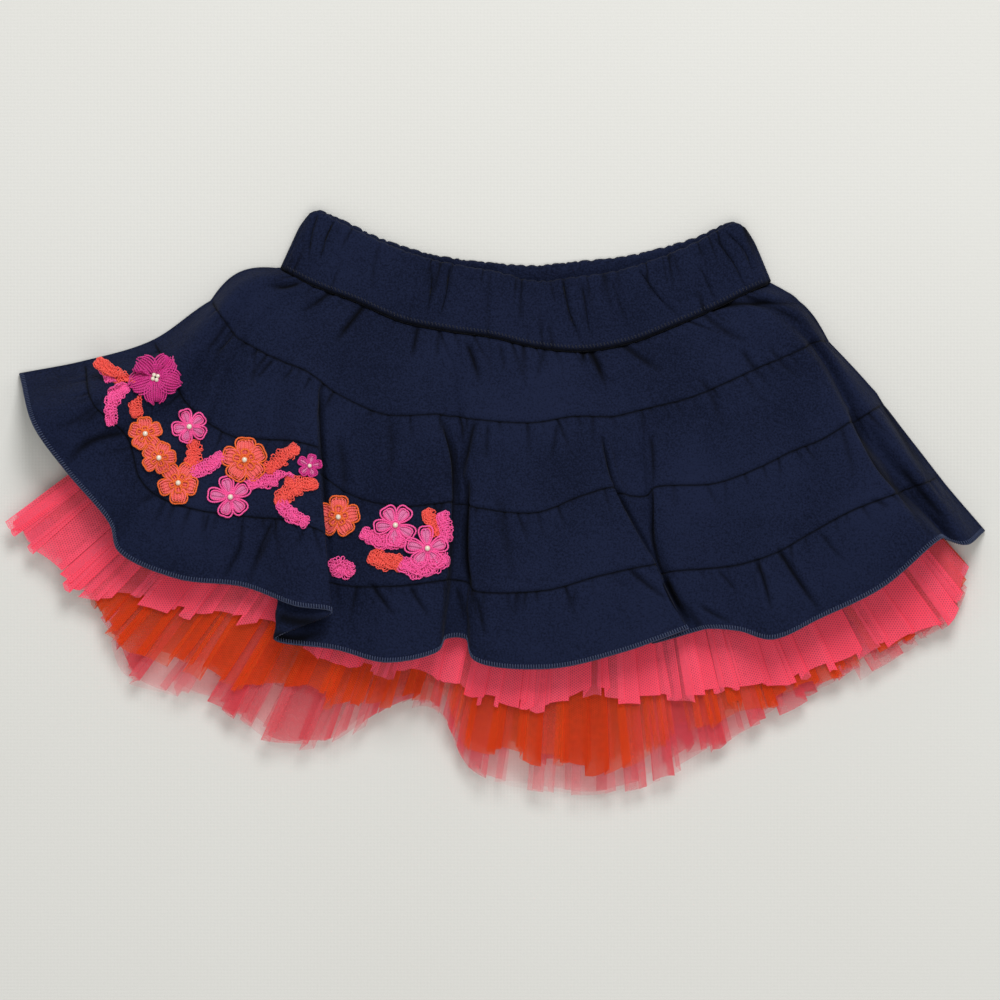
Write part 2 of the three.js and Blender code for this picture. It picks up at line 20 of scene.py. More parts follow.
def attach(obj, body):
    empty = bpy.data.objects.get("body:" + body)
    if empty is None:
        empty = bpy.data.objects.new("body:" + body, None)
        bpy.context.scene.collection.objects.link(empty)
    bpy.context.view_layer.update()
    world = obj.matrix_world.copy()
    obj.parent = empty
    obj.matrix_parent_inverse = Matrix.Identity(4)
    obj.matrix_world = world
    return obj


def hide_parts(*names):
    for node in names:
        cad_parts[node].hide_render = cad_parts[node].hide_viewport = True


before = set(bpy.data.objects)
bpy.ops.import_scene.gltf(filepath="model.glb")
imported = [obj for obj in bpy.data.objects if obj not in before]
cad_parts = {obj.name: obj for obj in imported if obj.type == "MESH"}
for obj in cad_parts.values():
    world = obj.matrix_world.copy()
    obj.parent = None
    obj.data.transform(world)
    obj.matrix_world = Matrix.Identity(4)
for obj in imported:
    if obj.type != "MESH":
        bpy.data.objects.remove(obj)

LOG = logging.getLogger("skirt")
MM = 0.001
CENTRE_SHIFT = np.array([-0.0086, 1.2833, 0.0])
PHOTO_SCALE = 0.48
PHOTO_MIDDLE = (497.5, 500.5)

# Heights of the walls' middles over the floor, in millimetres, as the frame stacks them
BACK_MID = 0.6
BACK_BAND_MID = 1.2
SIDE_MID = 2.1
BAND_SIDE_MID = 3.9
WAIST_MID = 9.9
BAND_MOUTH_MID = 6.8
SIDE_ROUNDING = 14.0
# How far a fold has risen at the waist, each seam and the hem
RISE = (0.0, 0.42, 0.72, 0.92, 1.0)
TIERS = 4
FOLD_ANGLES = (45, 90, 135, 180)
# Columns that the two rolled sides of a front add at each side of its grid
SIDE_PAD = ((0, 0), (len(FOLD_ANGLES), len(FOLD_ANGLES)))

# Inputs and output of a mix node that mixes colours
MIX_FIRST, MIX_SECOND, MIX_RESULT = 6, 7, 2
# Painted shade: the blue-black that the crepe's creases, gathers and seams are darkened towards
PAINTED_SHADE_COLOUR = "#020308"

# Waistband sections from left to right: waist seam, front top edge, back top edge
BAND_SECTIONS = (
    ((-102, 110.6), (-88.6, 139.9), (-88.6, 139.9)),
    ((-87, 103.2), (-74, 132), (-74, 133.6)),
    ((-68, 96), (-56.4, 123.6), (-56.4, 125.2)),
    ((-46, 86.5), (-37, 116.4), (-37, 118.8)),
    ((-24, 82), (-18, 112), (-18, 115)),
    ((-3, 79), (1, 108.7), (1, 113)),
    ((19, 74), (18, 104.6), (18, 112)),
    ((41, 72.2), (37, 106.3), (38, 114)),
    ((63, 76), (58.8, 109.7), (59, 116)),
    ((83, 83.5), (77, 115.5), (77, 120)),
    ((105, 93), (95, 123), (96, 125.8)),
    ((119, 100), (108, 130), (108, 131.4)),
    ((129, 104.4), (117, 133.7), (117, 133.7)),
)

# Fold lines of the front from left to right: waist X, the three tier seams, the hem, and the hem's height
FRONT_FOLDS = (
    (-102, (-137, 95), (-165, 76), (-198, 66), (-229, 60), 2.1),
    (-97, (-133, 89), (-156, 61), (-193, 46), (-221, 35), 27),
    (-93, (-128, 82), (-150, 48), (-177, 30), (-206, 14), 23),
    (-90, (-125, 78), (-142, 40), (-171, 11), (-185, -11), 30),
    (-88, (-120, 75), (-137, 36), (-164, 3), (-181, -24), 26),
    (-83, (-113, 71), (-125, 30), (-146, -4), (-153, -37), 31),
    (-77, (-102, 66), (-110, 29), (-118, -8), (-121, -41), 28),
    (-71, (-92, 62), (-96, 28), (-98, -10), (-96, -50), 37.5),
    (-67, (-86, 58), (-86, 25), (-82, -17), (-79, -53), 37),
    (-65, (-80, 53), (-94, 24), (-103, -29), (-106, -66), 31.5),
    (-61, (-75, 50), (-73, 4), (-77, -40), (-77, -71), 26.5),
    (-44, (-54, 41), (-47, -3), (-49, -41), (-53, -77), 31),
    (-32, (-28, 41), (-22, -1), (-24, -38), (-29, -72), 33),
    (-29, (-23, 40), (-19, -2), (-21, -38), (-25, -66), 26.5),
    (-25, (-19, 40), (-16, -2), (-15, -39), (-15, -66), 26.5),
    (-21, (-14, 39), (-13, -3), (-12, -43), (-11, -76), 32.5),
    (4, (16, 37), (18, -6), (23, -43), (24, -80), 34),
    (25, (36, 40), (40, 2), (49, -36), (60, -72), 35),
    (40, (49, 40), (55, 6), (76, -31), (91, -61), 33.5),
    (44, (55, 40), (60, 3), (68, -36), (74, -68), 29),
    (49, (64, 42), (71, 2), (79, -35), (96, -62), 26.5),
    (55, (72, 44), (75, 6), (83, -34), (100, -61), 30),
    (68, (92, 49), (104, 8), (114, -31), (115, -62), 29),
    (82, (109, 56), (126, 16), (133, -25), (131, -66), 33),
    (92, (124, 63), (140, 23), (149, -16), (154, -56), 30),
    (103, (136, 68), (155, 29), (169, -5), (184, -41), 34),
    (113, (147, 73), (168, 37), (190, 3), (210, -19), 32),
    (117, (150, 75), (172, 38), (195, 5), (216, -19), 14),
    (122, (154, 76), (178, 42), (204, 8), (224, -21), 18),
    (129, (158, 76), (185, 46), (211, 11), (233, -15), 2.1),
)
BACK_FOLD_ROWS = (0, 3, 5, 11, 16, 22, 23, 25, 29)
BACK_HEM_SHARE = 0.7
LEFT_SHOULDER = ((-2.5, 6.0), 0.2)
RIGHT_SHOULDER = ((2.5, 3.0), 0.12)

# Tulle rays from left to right: tip, and the shares of the way to it that the three hems reach
TULLE_RAYS = (
    ((-233, -8), 1, 0.92, 0.95),
    ((-222, -24), 1, 0.93, 0.96),
    ((-203, -43), 1, 0.97, 0.96),
    ((-190, -62), 0.9, 1, 0.97),
    ((-177, -81), 0.83, 0.94, 1),
    ((-155, -92), 0.8, 0.93, 1),
    ((-131, -101), 0.76, 0.945, 1),
    ((-104, -115), 0.79, 0.88, 1),
    ((-78, -115), 0.81, 0.9, 1),
    ((-52, -99), 0.91, 0.98, 1),
    ((-30, -100), 0.93, 0.97, 1),
    ((-14, -128), 0.83, 0.95, 1),
    ((14, -138), 0.81, 0.93, 1),
    ((47, -141), 0.76, 0.94, 1),
    ((80, -131), 0.82, 0.92, 1),
    ((112, -114), 0.88, 0.93, 1),
    ((138, -98), 0.95, 0.97, 1),
    ((170, -84), 0.96, 0.97, 1),
    ((198, -69), 0.98, 0.96, 1),
    ((217, -57), 0.99, 0.96, 1),
    ((229, -35), 1, 0.96, 0.98),
)
FAN_LEFT, FAN_RIGHT, FAN_DROP = -88.0, 115.0, 3.0
FAN_SHARE = (0, 0.3, 0.62, 0.8, 1)
FAN_LIFT = (0, 8, 12, 9, 3)
FAN_PLEAT = (0, 1, 2, 3, 3.4)
FAN_SIDE_POWER = 0.6
FAN_PLEATS = 28
PLEAT_UNEVENNESS = 0.22
PLEAT_BEAT = 1.9


def seen_at(across: float, down: float) -> tuple[float, float]:
    """Turns a place in the 1000 x 1000 photograph to table millimetres."""
    return (across - PHOTO_MIDDLE[0]) * PHOTO_SCALE, (PHOTO_MIDDLE[1] - down) * PHOTO_SCALE


def metres(points: np.ndarray) -> np.ndarray:
    """Turns table millimetres to scene metres, centred as the frame is."""
    return (np.asarray(points, float) + CENTRE_SHIFT) * MM


def smooth_line(points: np.ndarray, shares: np.ndarray) -> np.ndarray:
    """Evaluates a centripetal curve through points.

    Args:
        points: The control points, with shape (..., n, 3).
        shares: How far along the curve each wanted point is, from 0 to 1.

    Returns:
        The points on the curve, with shape (..., len(shares), 3).
    """
    points = np.asarray(points, float)
    first = 2 * points[..., :1, :] - points[..., 1:2, :]
    last = 2 * points[..., -1:, :] - points[..., -2:-1, :]
    whole = np.concatenate([first, points, last], axis=-2)
    count = points.shape[-2]
    place = np.clip(np.asarray(shares, float), 0, 1) * (count - 1)
    index = np.minimum(np.floor(place).astype(int), count - 2)
    rest = (place - index)[:, None]
    p0, p1, p2, p3 = (whole[..., index + step, :] for step in range(4))
    gaps = [np.sqrt(np.linalg.norm(b - a, axis=-1, keepdims=True)) for a, b in ((p0, p1), (p1, p2), (p2, p3))]
    d1 = np.where(gaps[1] < 1e-4, 1.0, gaps[1])
    d0 = np.where(gaps[0] < 1e-4, d1, gaps[0])
    d2 = np.where(gaps[2] < 1e-4, d1, gaps[2])
    t1 = ((p1 - p0) / d0 - (p2 - p0) / (d0 + d1) + (p2 - p1) / d1) * d1
    t2 = ((p2 - p1) / d1 - (p3 - p1) / (d1 + d2) + (p3 - p2) / d2) * d1
    square, cube = rest**2, rest**3
    return p1 + t1 * rest + (3 * p2 - 3 * p1 - 2 * t1 - t2) * square + (2 * p1 - 2 * p2 + t1 + t2) * cube


def even_spline(points: Sequence[Sequence[float]], shares: np.ndarray) -> np.ndarray:
    """Evaluates a uniform spline through points whose ends count twice."""
    points = np.asarray(points, float)
    whole = np.concatenate([points[:1], points, points[-1:]])
    place = np.clip(np.asarray(shares, float), 0, 1) * (len(points) - 1)
    index = np.minimum(np.floor(place).astype(int), len(points) - 2)
    rest = (place - index)[:, None]
    p0, p1, p2, p3 = (whole[index + step] for step in range(4))
    v0, v1 = (p2 - p0) / 2, (p3 - p1) / 2
    square, cube = rest**2, rest**3
    return p1 + v0 * rest + (3 * p2 - 3 * p1 - 2 * v0 - v1) * square + (2 * p1 - 2 * p2 + v0 + v1) * cube


def unit(vectors: np.ndarray) -> np.ndarray:
    """Scales vectors along the last axis to length one."""
    return vectors / np.maximum(np.linalg.norm(vectors, axis=-1, keepdims=True), 1e-9)


def bell(offset: np.ndarray, power: float = 2) -> np.ndarray:
    """Gives a soft bump: 1 where the offset is 0, falling away on both sides."""
    return np.exp(-(offset**power))


def grid_normals(grid: np.ndarray) -> np.ndarray:
    """Gives the upward normals of a grid of points whose rows run hemward and columns rightward."""
    down = np.gradient(grid, axis=0)
    along = np.gradient(grid, axis=1)
    return unit(np.cross(down, along))


def run_length(points: np.ndarray) -> np.ndarray:
    """Gives the distance along a row of points, starting at 0."""
    steps = np.linalg.norm(np.diff(points, axis=0), axis=1)
    return np.concatenate([[0.0], np.cumsum(steps)])


def drop_below(grid: np.ndarray) -> np.ndarray:
    """Gives how far each point of a grid is below its top row, along its column."""
    steps = np.linalg.norm(np.diff(grid, axis=0), axis=2)
    return np.concatenate([np.zeros((1, grid.shape[1])), np.cumsum(steps, axis=0)])


def grid_faces(rows: int, columns: int, start: int = 0, upward: bool = True) -> list[list[int]]:
    """Gives the quads of a grid of numbered points, facing up or down.

    Args:
        rows: The grid's rows, hemward.
        columns: Its columns, rightward.
        start: The number of its first point.
        upward: Whether the quads face up.

    Returns:
        The corners of each quad.
    """
    index = start + np.arange(rows * columns).reshape(rows, columns)
    a, b, c, d = index[:-1, :-1], index[1:, :-1], index[1:, 1:], index[:-1, 1:]
    order = (a, b, c, d) if upward else (a, d, c, b)
    return np.stack([part.ravel() for part in order], axis=1).tolist()


def rim_of(rows: int, columns: int) -> np.ndarray:
    """Gives the numbers of a grid's border points, counter-clockwise seen from above."""
    index = np.arange(rows * columns).reshape(rows, columns)
    return np.concatenate([index[:, 0], index[-1, 1:], index[-2::-1, -1], index[0, -2:0:-1]])


def placed(name: str, data: bpy.types.ID) -> bpy.types.Object:
    """Makes an object of a mesh, light or camera and links it to the scene."""
    made = bpy.data.objects.new(name, data)
    bpy.context.scene.collection.objects.link(made)
    return made


@dataclass
class Surface:
    """A mesh in the making: points in table millimetres, faces, and where each point is on the flat cloth."""

    points: np.ndarray
    faces: list[list[int]]
    flat: np.ndarray | None = None
    marks: dict[str, np.ndarray] = field(default_factory=dict)
    slots: list[int] | None = None
    sharp: np.ndarray | None = None

    def piece(self, name: str, *materials: bpy.types.Material) -> bpy.types.Object:
        """Makes the Blender object, smooth shaded, with its place in its mesh.

        Args:
            name: The piece's name.
            materials: One for each slot.

        Returns:
            The object, linked to the scene.
        """
        mesh = bpy.data.meshes.new(name)
        mesh.from_pydata(metres(self.points).tolist(), [], self.faces)
        for material in materials:
            mesh.materials.append(material)
        mesh.polygons.foreach_set("use_smooth", [True] * len(mesh.polygons))
        if self.slots is not None:
            mesh.polygons.foreach_set("material_index", self.slots)
        if self.flat is not None:
            corners = np.empty(len(mesh.loops), dtype=np.int32)
            mesh.loops.foreach_get("vertex_index", corners)
            layer = mesh.uv_layers.new(name="cloth")
            layer.data.foreach_set("uv", (self.flat[corners] * MM).astype(np.float32).ravel())
        for mark, values in self.marks.items():
            store = mesh.attributes.new(mark, "FLOAT", "POINT")
            store.data.foreach_set("value", np.asarray(values, np.float32))
        if self.sharp is not None:
            ends = np.empty(len(mesh.edges) * 2, dtype=np.int32)
            mesh.edges.foreach_get("vertices", ends)
            folded = self.sharp[ends.reshape(-1, 2)].all(axis=1)
            mesh.edges.foreach_set("use_edge_sharp", folded)
        mesh.update()
        return placed(name, mesh)


def shell(
    grid: np.ndarray,
    thickness: float,
    flat: np.ndarray | None = None,
    pinch: np.ndarray | None = None,
) -> Surface:
    """Closes a grid of middle points to a thin wall with rounded edges.

    Args:
        grid: Middle points, rows hemward and columns rightward, with shape (rows, columns, 3).
        thickness: The wall's thickness in millimetres.
        flat: Where each point is on the flat cloth, with shape (rows, columns, 2).
        pinch: How dark the painted shade of creases, gathers and seams is at each point, with shape (rows, columns).

    Returns:
        The closed surface.
    """
    rows, columns, _ = grid.shape
    normals = grid_normals(grid)
    top = (grid + normals * thickness / 2).reshape(-1, 3)
    under = (grid - normals * thickness / 2).reshape(-1, 3)
    rim = rim_of(rows, columns)
    middle = grid.reshape(-1, 3)
    inward = np.empty_like(grid)
    inward[:] = grid
    inward[0], inward[-1] = grid[1], grid[-2]
    side = inward.copy()
    side[:, 0], side[:, -1] = inward[:, 1], inward[:, -2]
    outward = unit(middle - side.reshape(-1, 3))[rim]
    edge = middle[rim] + outward * thickness / 2
    count = rows * columns
    faces = grid_faces(rows, columns) + grid_faces(rows, columns, count, upward=False)
    for step, point in enumerate(rim):
        after = rim[(step + 1) % len(rim)]
        here, there = 2 * count + step, 2 * count + (step + 1) % len(rim)
        faces.append([int(point), here, there, int(after)])
        faces.append([here, int(point) + count, int(after) + count, there])
    flats = None
    if flat is not None:
        plain = flat.reshape(-1, 2)
        flats = np.concatenate([plain, plain, plain[rim]])
    marks = {}
    if pinch is not None:
        spread = pinch.ravel()
        marks["pinch"] = np.concatenate([spread, spread, spread[rim]])
    return Surface(np.concatenate([top, under, edge]), faces, flats, marks)


def tube(path: np.ndarray, radius: float | np.ndarray, sides: int = 6, closed: bool = False) -> Surface:
    """Wraps a round thread of sides flat faces along a path.

    Args:
        path: The points that the thread follows, in millimetres.
        radius: Its radius, or one radius for each point.
        sides: The number of faces around it.
        closed: Whether the path is a loop.

    Returns:
        The closed surface.
    """
    path = np.asarray(path, float)
    count = len(path)
    if closed:
        ahead = unit(np.roll(path, -1, axis=0) - np.roll(path, 1, axis=0))
    else:
        ahead = unit(np.gradient(path, axis=0))
    up = np.tile(np.array([0.0, 0.0, 1.0]), (count, 1))
    up[np.abs(ahead[:, 2]) > 0.95] = (0.0, 1.0, 0.0)
    right = unit(np.cross(ahead, up))
    over = np.cross(right, ahead)
    reach = np.broadcast_to(np.asarray(radius, float), (count,))[:, None]
    rings = []
    for side in range(sides):
        angle = 2 * math.pi * side / sides
        rings.append(path + reach * (math.cos(angle) * right + math.sin(angle) * over))
    points = np.stack(rings, axis=1).reshape(-1, 3)
    faces = []
    for ring in range(count if closed else count - 1):
        following = (ring + 1) % count
        for side in range(sides):
            beside = (side + 1) % sides
            here, there = ring * sides, following * sides
            faces.append([here + side, here + beside, there + beside, there + side])
    if not closed:
        faces.append(list(range(sides))[::-1])
        faces.append(list(range((count - 1) * sides, count * sides)))
    run = run_length(path)
    flat = np.stack([np.repeat(run, sides), np.tile(np.arange(sides) / sides, count)], axis=1)
    return Surface(points, faces, flat)


def joined(parts: Sequence[tuple[Surface, int]]) -> Surface:
    """Joins surfaces to one, each with the number of its material slot.

    Args:
        parts: Each surface, and its slot's number.

    Returns:
        The whole, with every mark that any part has.
    """
    points, faces, flats, slots = [], [], [], []
    start = 0
    for part, slot in parts:
        points.append(part.points)
        faces.extend([[corner + start for corner in face] for face in part.faces])
        flats.append(part.flat if part.flat is not None else part.points[:, :2])
        slots.extend([slot] * len(part.faces))
        start += len(part.points)
    marks = {}
    for mark in sorted({mark for part, _ in parts for mark in part.marks}):
        marked = [part.marks.get(mark, np.zeros(len(part.points))) for part, _ in parts]
        marks[mark] = np.concatenate(marked)
    sharp = None
    if any(part.sharp is not None for part, _ in parts):
        soft = [np.zeros(len(part.points), bool) if part.sharp is None else part.sharp for part, _ in parts]
        sharp = np.concatenate(soft)
    return Surface(np.concatenate(points), faces, np.concatenate(flats), marks, slots, sharp)


class Dye(Enum):
    """The colours of threads and cloth: each one's full sRGB colour, and the deeper one in its shade."""

    NAVY = ("#171e36", "#090f22")
    NAVY_THREAD = ("#2b3a5c", "#171e36")
    NAVY_SUNK = ("#090f22", "#090f22")
    CORAL_PINK = ("#ff6480", "#ff2e4a")
    ORANGE = ("#fc6822", "#e4420a")
    PALE_PINK = ("#f88c94", "#ec5c6a")
    LACE_MAGENTA = ("#dc2088", "#8e0c58")
    LACE_PINK = ("#ff5aa6", "#d22872")
    LACE_ORCHID = ("#e87aac", "#b2347c")
    LACE_ORANGE = ("#f66c14", "#b83806")
    LACE_ROSE = ("#f86c66", "#d8383c")
    LACE_CORAL = ("#ff5c4c", "#cf2a28")
    PEARL = ("#efe3cf", "#d9cbb8")
    BOARD = ("#d9d9d4", "#d4d3cd")

    def tones(self) -> dict[int, tuple[float, float, float, float]]:
        """Gives the deep and the full colour, for the two colour inputs of a mix node."""
        return {MIX_FIRST: linear(self.value[1]), MIX_SECOND: linear(self.value[0])}


def linear(colour: str) -> tuple[float, float, float, float]:
    """Turns an sRGB hex colour to the linear values that a socket takes."""
    parts = [int(colour[place : place + 2], 16) / 255 for place in (1, 3, 5)]
    return (*[part / 12.92 if part <= 0.04045 else ((part + 0.055) / 1.055) ** 2.4 for part in parts], 1.0)


def add_node(
    tree: bpy.types.NodeTree,
    kind: str,
    inputs: dict[str | int, object] | None = None,
    **settings: object,
) -> bpy.types.Node:
    """Adds a node with its settings and links.

    Args:
        tree: The tree of a material or of a modifier.
        kind: The node's type.
        inputs: What goes into each input, by name or number: a socket, a node for its first output, or a value.
        settings: Properties of the node itself.

    Returns:
        The node.
    """
    node = tree.nodes.new(kind)
    for name, value in settings.items():
        setattr(node, name, value)
    for name, value in (inputs or {}).items():
        if isinstance(value, bpy.types.Node):
            value = value.outputs[0]
        if isinstance(value, bpy.types.NodeSocket):
            tree.links.new(value, node.inputs[name])
        else:
            node.inputs[name].default_value = value
    return node


def blank_material(name: str) -> tuple[bpy.types.Material, Callable[..., bpy.types.Node]]:
    """Starts an empty node material, and gives it with add_node bound to its tree."""
    material = bpy.data.materials.new(name)
    material.use_nodes = True
    material.node_tree.nodes.clear()
    return material, partial(add_node, material.node_tree)


@dataclass(frozen=True)
class CrepeFinish:
    """Polyester moss crepe, woven from hard-twisted yarn: a dull pebbled face with a faint sheen at its edges."""

    name: str = "navy_moss_crepe"
    dye: Dye = Dye.NAVY
    grain_mm: float = 0.9
    cloud_mm: float = 55.0
    wrinkle_mm: float = 9.0
    # How far the painted shade darkens the crepe at its darkest
    painted_shade_strength: float = 0.98

    def material(self) -> bpy.types.Material:
        """Wires the crepe: pebble grain at 0.9 mm, drawn coarser than the real 0.3 mm so that it shows."""
        material, add = blank_material(self.name)
        place = add("ShaderNodeTexCoord").outputs["Object"]
        # Twisted yarn gives a grain of light and dark pebbles, and a worn, washed cloth slow clouds of tone
        grain, cloud, wrinkle = (
            add("ShaderNodeTexNoise", {"Vector": place, "Scale": 1 / (size * MM), "Detail": detail, "Roughness": rough})
            for size, detail, rough in (
                (self.grain_mm, 2, 0.6),
                (self.cloud_mm, 3, 0.55),
                (self.wrinkle_mm, 3, 0.5),
            )
        )
        tone = add("ShaderNodeMath", {0: cloud, 1: 0.6, 2: grain}, operation="MULTIPLY_ADD")
        shade = add("ShaderNodeMapRange", {"Value": tone, "From Min": 0.62, "From Max": 0.93})
        woven = add("ShaderNodeMix", {0: shade, **self.dye.tones()}, data_type="RGBA").outputs[MIX_RESULT]
        # Painted shade: creases, gathers and seams are darkened towards blue-black, as far as their mark says
        pinch = add("ShaderNodeAttribute", attribute_name="pinch").outputs["Fac"]
        depth = add("ShaderNodeMath", {0: pinch, 1: self.painted_shade_strength}, operation="MULTIPLY")
        mixed = add("ShaderNodeMix", {0: depth, MIX_FIRST: woven, MIX_SECOND: linear(PAINTED_SHADE_COLOUR)}, data_type="RGBA")
        # The pebbles and the fine wrinkles of unironed crepe catch the window light
        creping = add("ShaderNodeMath", {0: wrinkle, 1: 1.3}, operation="MULTIPLY")
        height = add("ShaderNodeMath", {0: grain, 1: 0.3, 2: creping}, operation="MULTIPLY_ADD")
        bump = add("ShaderNodeBump", {"Height": height, "Strength": 0.8, "Distance": 1.4 * MM})
        matt = add("ShaderNodeMath", {0: grain, 1: 0.12, 2: 0.78}, operation="MULTIPLY_ADD")
        cloth = add(
            "ShaderNodeBsdfPrincipled",
            {
                "Base Color": mixed.outputs[MIX_RESULT],
                "Roughness": matt,
                "Specular IOR Level": 0.07,
                "Sheen Weight": 0.02,
                "Sheen Roughness": 0.5,
                "Normal": bump,
            },
        )
        add("ShaderNodeOutputMaterial", {"Surface": cloth})
        return material


@dataclass(frozen=True)
class NetFinish:
    """Nylon tulle, a warp-knitted hexagon net: threads that tint the light, and holes that let the rest through."""

    name: str
    dye: Dye
    cover: float
    hole_mm: float = 0.92
    openness: float = 0.5
    glow: float = 0.5

    def material(self) -> bpy.types.Material:
        """Wires the net on the cloth's own UV map, with holes a millimetre apart."""
        material, add = blank_material(self.name)
        place = add("ShaderNodeTexCoord").outputs["UV"]
        axes = add("ShaderNodeSeparateXYZ", {"Vector": place})
        # Three waves at 60 degrees meet in the round holes of a hexagon net
        net = None
        for turn in (0, 60, 120):
            turns = 2 * math.pi / (self.hole_mm * MM)
            angle = math.radians(turn)
            across = add("ShaderNodeMath", {0: axes.outputs["X"], 1: turns * math.cos(angle)}, operation="MULTIPLY")
            along = {0: axes.outputs["Y"], 1: turns * math.sin(angle), 2: across}
            phase = add("ShaderNodeMath", along, operation="MULTIPLY_ADD")
            wave = add("ShaderNodeMath", {0: phase}, operation="COSINE")
            net = wave if net is None else add("ShaderNodeMath", {0: net, 1: wave}, operation="ADD")
        hole = add("ShaderNodeMapRange", {"Value": net, "From Min": -0.4, "From Max": 1.5})
        cloud = add("ShaderNodeTexNoise", {"Vector": place, "Scale": 38.0, "Detail": 2.0})
        grain = add("ShaderNodeTexNoise", {"Vector": place, "Scale": 420.0, "Detail": 1.0})
        # Where fewer folds lie over each other the dye looks paler, as the net's white light comes through
        dense = add("ShaderNodeAttribute", attribute_name="cover").outputs["Fac"]
        thin = add("ShaderNodeMath", {0: dense, 1: -0.75, 2: 1.35 * 0.75}, operation="MULTIPLY_ADD")
        pale = add("ShaderNodeMath", {0: cloud, 1: 0.45, 2: thin}, operation="MULTIPLY_ADD", use_clamp=True)
        tint = add("ShaderNodeMix", {0: pale, **self.dye.tones()}, data_type="RGBA").outputs[MIX_RESULT]
        # The threads cover what the holes leave, more where pleats are doubled, unevenly from thread to thread
        thread = add("ShaderNodeMath", {0: hole, 1: -self.openness, 2: 1.0}, operation="MULTIPLY_ADD")
        laid = add("ShaderNodeMath", {0: thread, 1: dense}, operation="MULTIPLY")
        uneven = add("ShaderNodeMath", {0: grain, 1: 0.4 * self.cover, 2: 0.8 * self.cover}, operation="MULTIPLY_ADD")
        alpha = add("ShaderNodeMath", {0: laid, 1: uneven}, operation="MULTIPLY", use_clamp=True)
        # Nylon threads shine a little and pass some light to the layer below
        face = add(
            "ShaderNodeBsdfPrincipled",
            {"Base Color": tint, "Roughness": 0.7, "Specular IOR Level": 0.25, "Sheen Weight": 0.25},
        )
        through = add("ShaderNodeBsdfTranslucent", {"Color": tint})
        threads = add("ShaderNodeMixShader", {0: self.glow, 1: face, 2: through})
        mixed = add("ShaderNodeMixShader", {0: alpha, 1: add("ShaderNodeBsdfTransparent"), 2: threads})
        add("ShaderNodeOutputMaterial", {"Surface": mixed})
        return material


@dataclass(frozen=True)
class ThreadFinish:
    """Rayon embroidery or overlock thread, two plies twisted: a soft satin line that breaks at each ply."""

    name: str
    dye: Dye
    ply_mm: float = 0.9
    gloss: float = 0.45

    def material(self) -> bpy.types.Material:
        """Wires the thread on its own UV map, along and around, with a ply every 0.9 mm so that it shows."""
        material, add = blank_material(self.name)
        coords = add("ShaderNodeTexCoord")
        axes = add("ShaderNodeSeparateXYZ", {"Vector": coords.outputs["UV"]})
        # Each turn of the plies gets a painted highlight on its hump and painted shade in its groove, with stray fibres
        # between
        along, once = 2 * math.pi / (self.ply_mm * MM), 2 * math.pi / MM
        around = add("ShaderNodeMath", {0: axes.outputs["Y"], 1: once}, operation="MULTIPLY")
        turns = add("ShaderNodeMath", {0: axes.outputs["X"], 1: along, 2: around}, operation="MULTIPLY_ADD")
        ply = add("ShaderNodeMath", {0: turns}, operation="SINE")
        fuzz = add("ShaderNodeTexNoise", {"Vector": coords.outputs["Object"], "Scale": 900.0, "Detail": 2.0})
        fibre = add("ShaderNodeMath", {0: fuzz, 1: 0.9, 2: 0.2}, operation="MULTIPLY_ADD")
        shade = add("ShaderNodeMath", {0: ply, 1: 0.28, 2: fibre}, operation="MULTIPLY_ADD")
        mixed = add("ShaderNodeMix", {0: shade, **self.dye.tones()}, data_type="RGBA")
        bump = add("ShaderNodeBump", {"Height": ply, "Strength": 0.5, "Distance": 0.1 * MM})
        body = add(
            "ShaderNodeBsdfPrincipled",
            {
                "Base Color": mixed.outputs[MIX_RESULT],
                "Roughness": self.gloss,
                "Specular IOR Level": 0.4,
                "Sheen Weight": 0.15,
                "Normal": bump,
            },
        )
        add("ShaderNodeOutputMaterial", {"Surface": body})
        return material


@dataclass(frozen=True)
class PearlFinish:
    """Moulded acrylic bead under a pearl lacquer: cream, with a soft lustre at its rim."""

    name: str = "pearl_lacquered_acrylic"
    dye: Dye = Dye.PEARL

    def material(self) -> bpy.types.Material:
        """Wires the lacquer over a cream body."""
        material, add = blank_material(self.name)
        place = add("ShaderNodeTexCoord").outputs["Object"]
        # The lacquer is a little uneven, so the cream clouds, and its smooth coat gives one small clear light
        cloud = add("ShaderNodeTexNoise", {"Vector": place, "Scale": 700.0, "Detail": 2.0})
        mixed = add("ShaderNodeMix", {0: cloud, **self.dye.tones()}, data_type="RGBA")
        body = add(
            "ShaderNodeBsdfPrincipled",
            {"Base Color": mixed.outputs[MIX_RESULT], "Roughness": 0.22, "Coat Weight": 0.6, "Coat Roughness": 0.12},
        )
        add("ShaderNodeOutputMaterial", {"Surface": body})
        return material


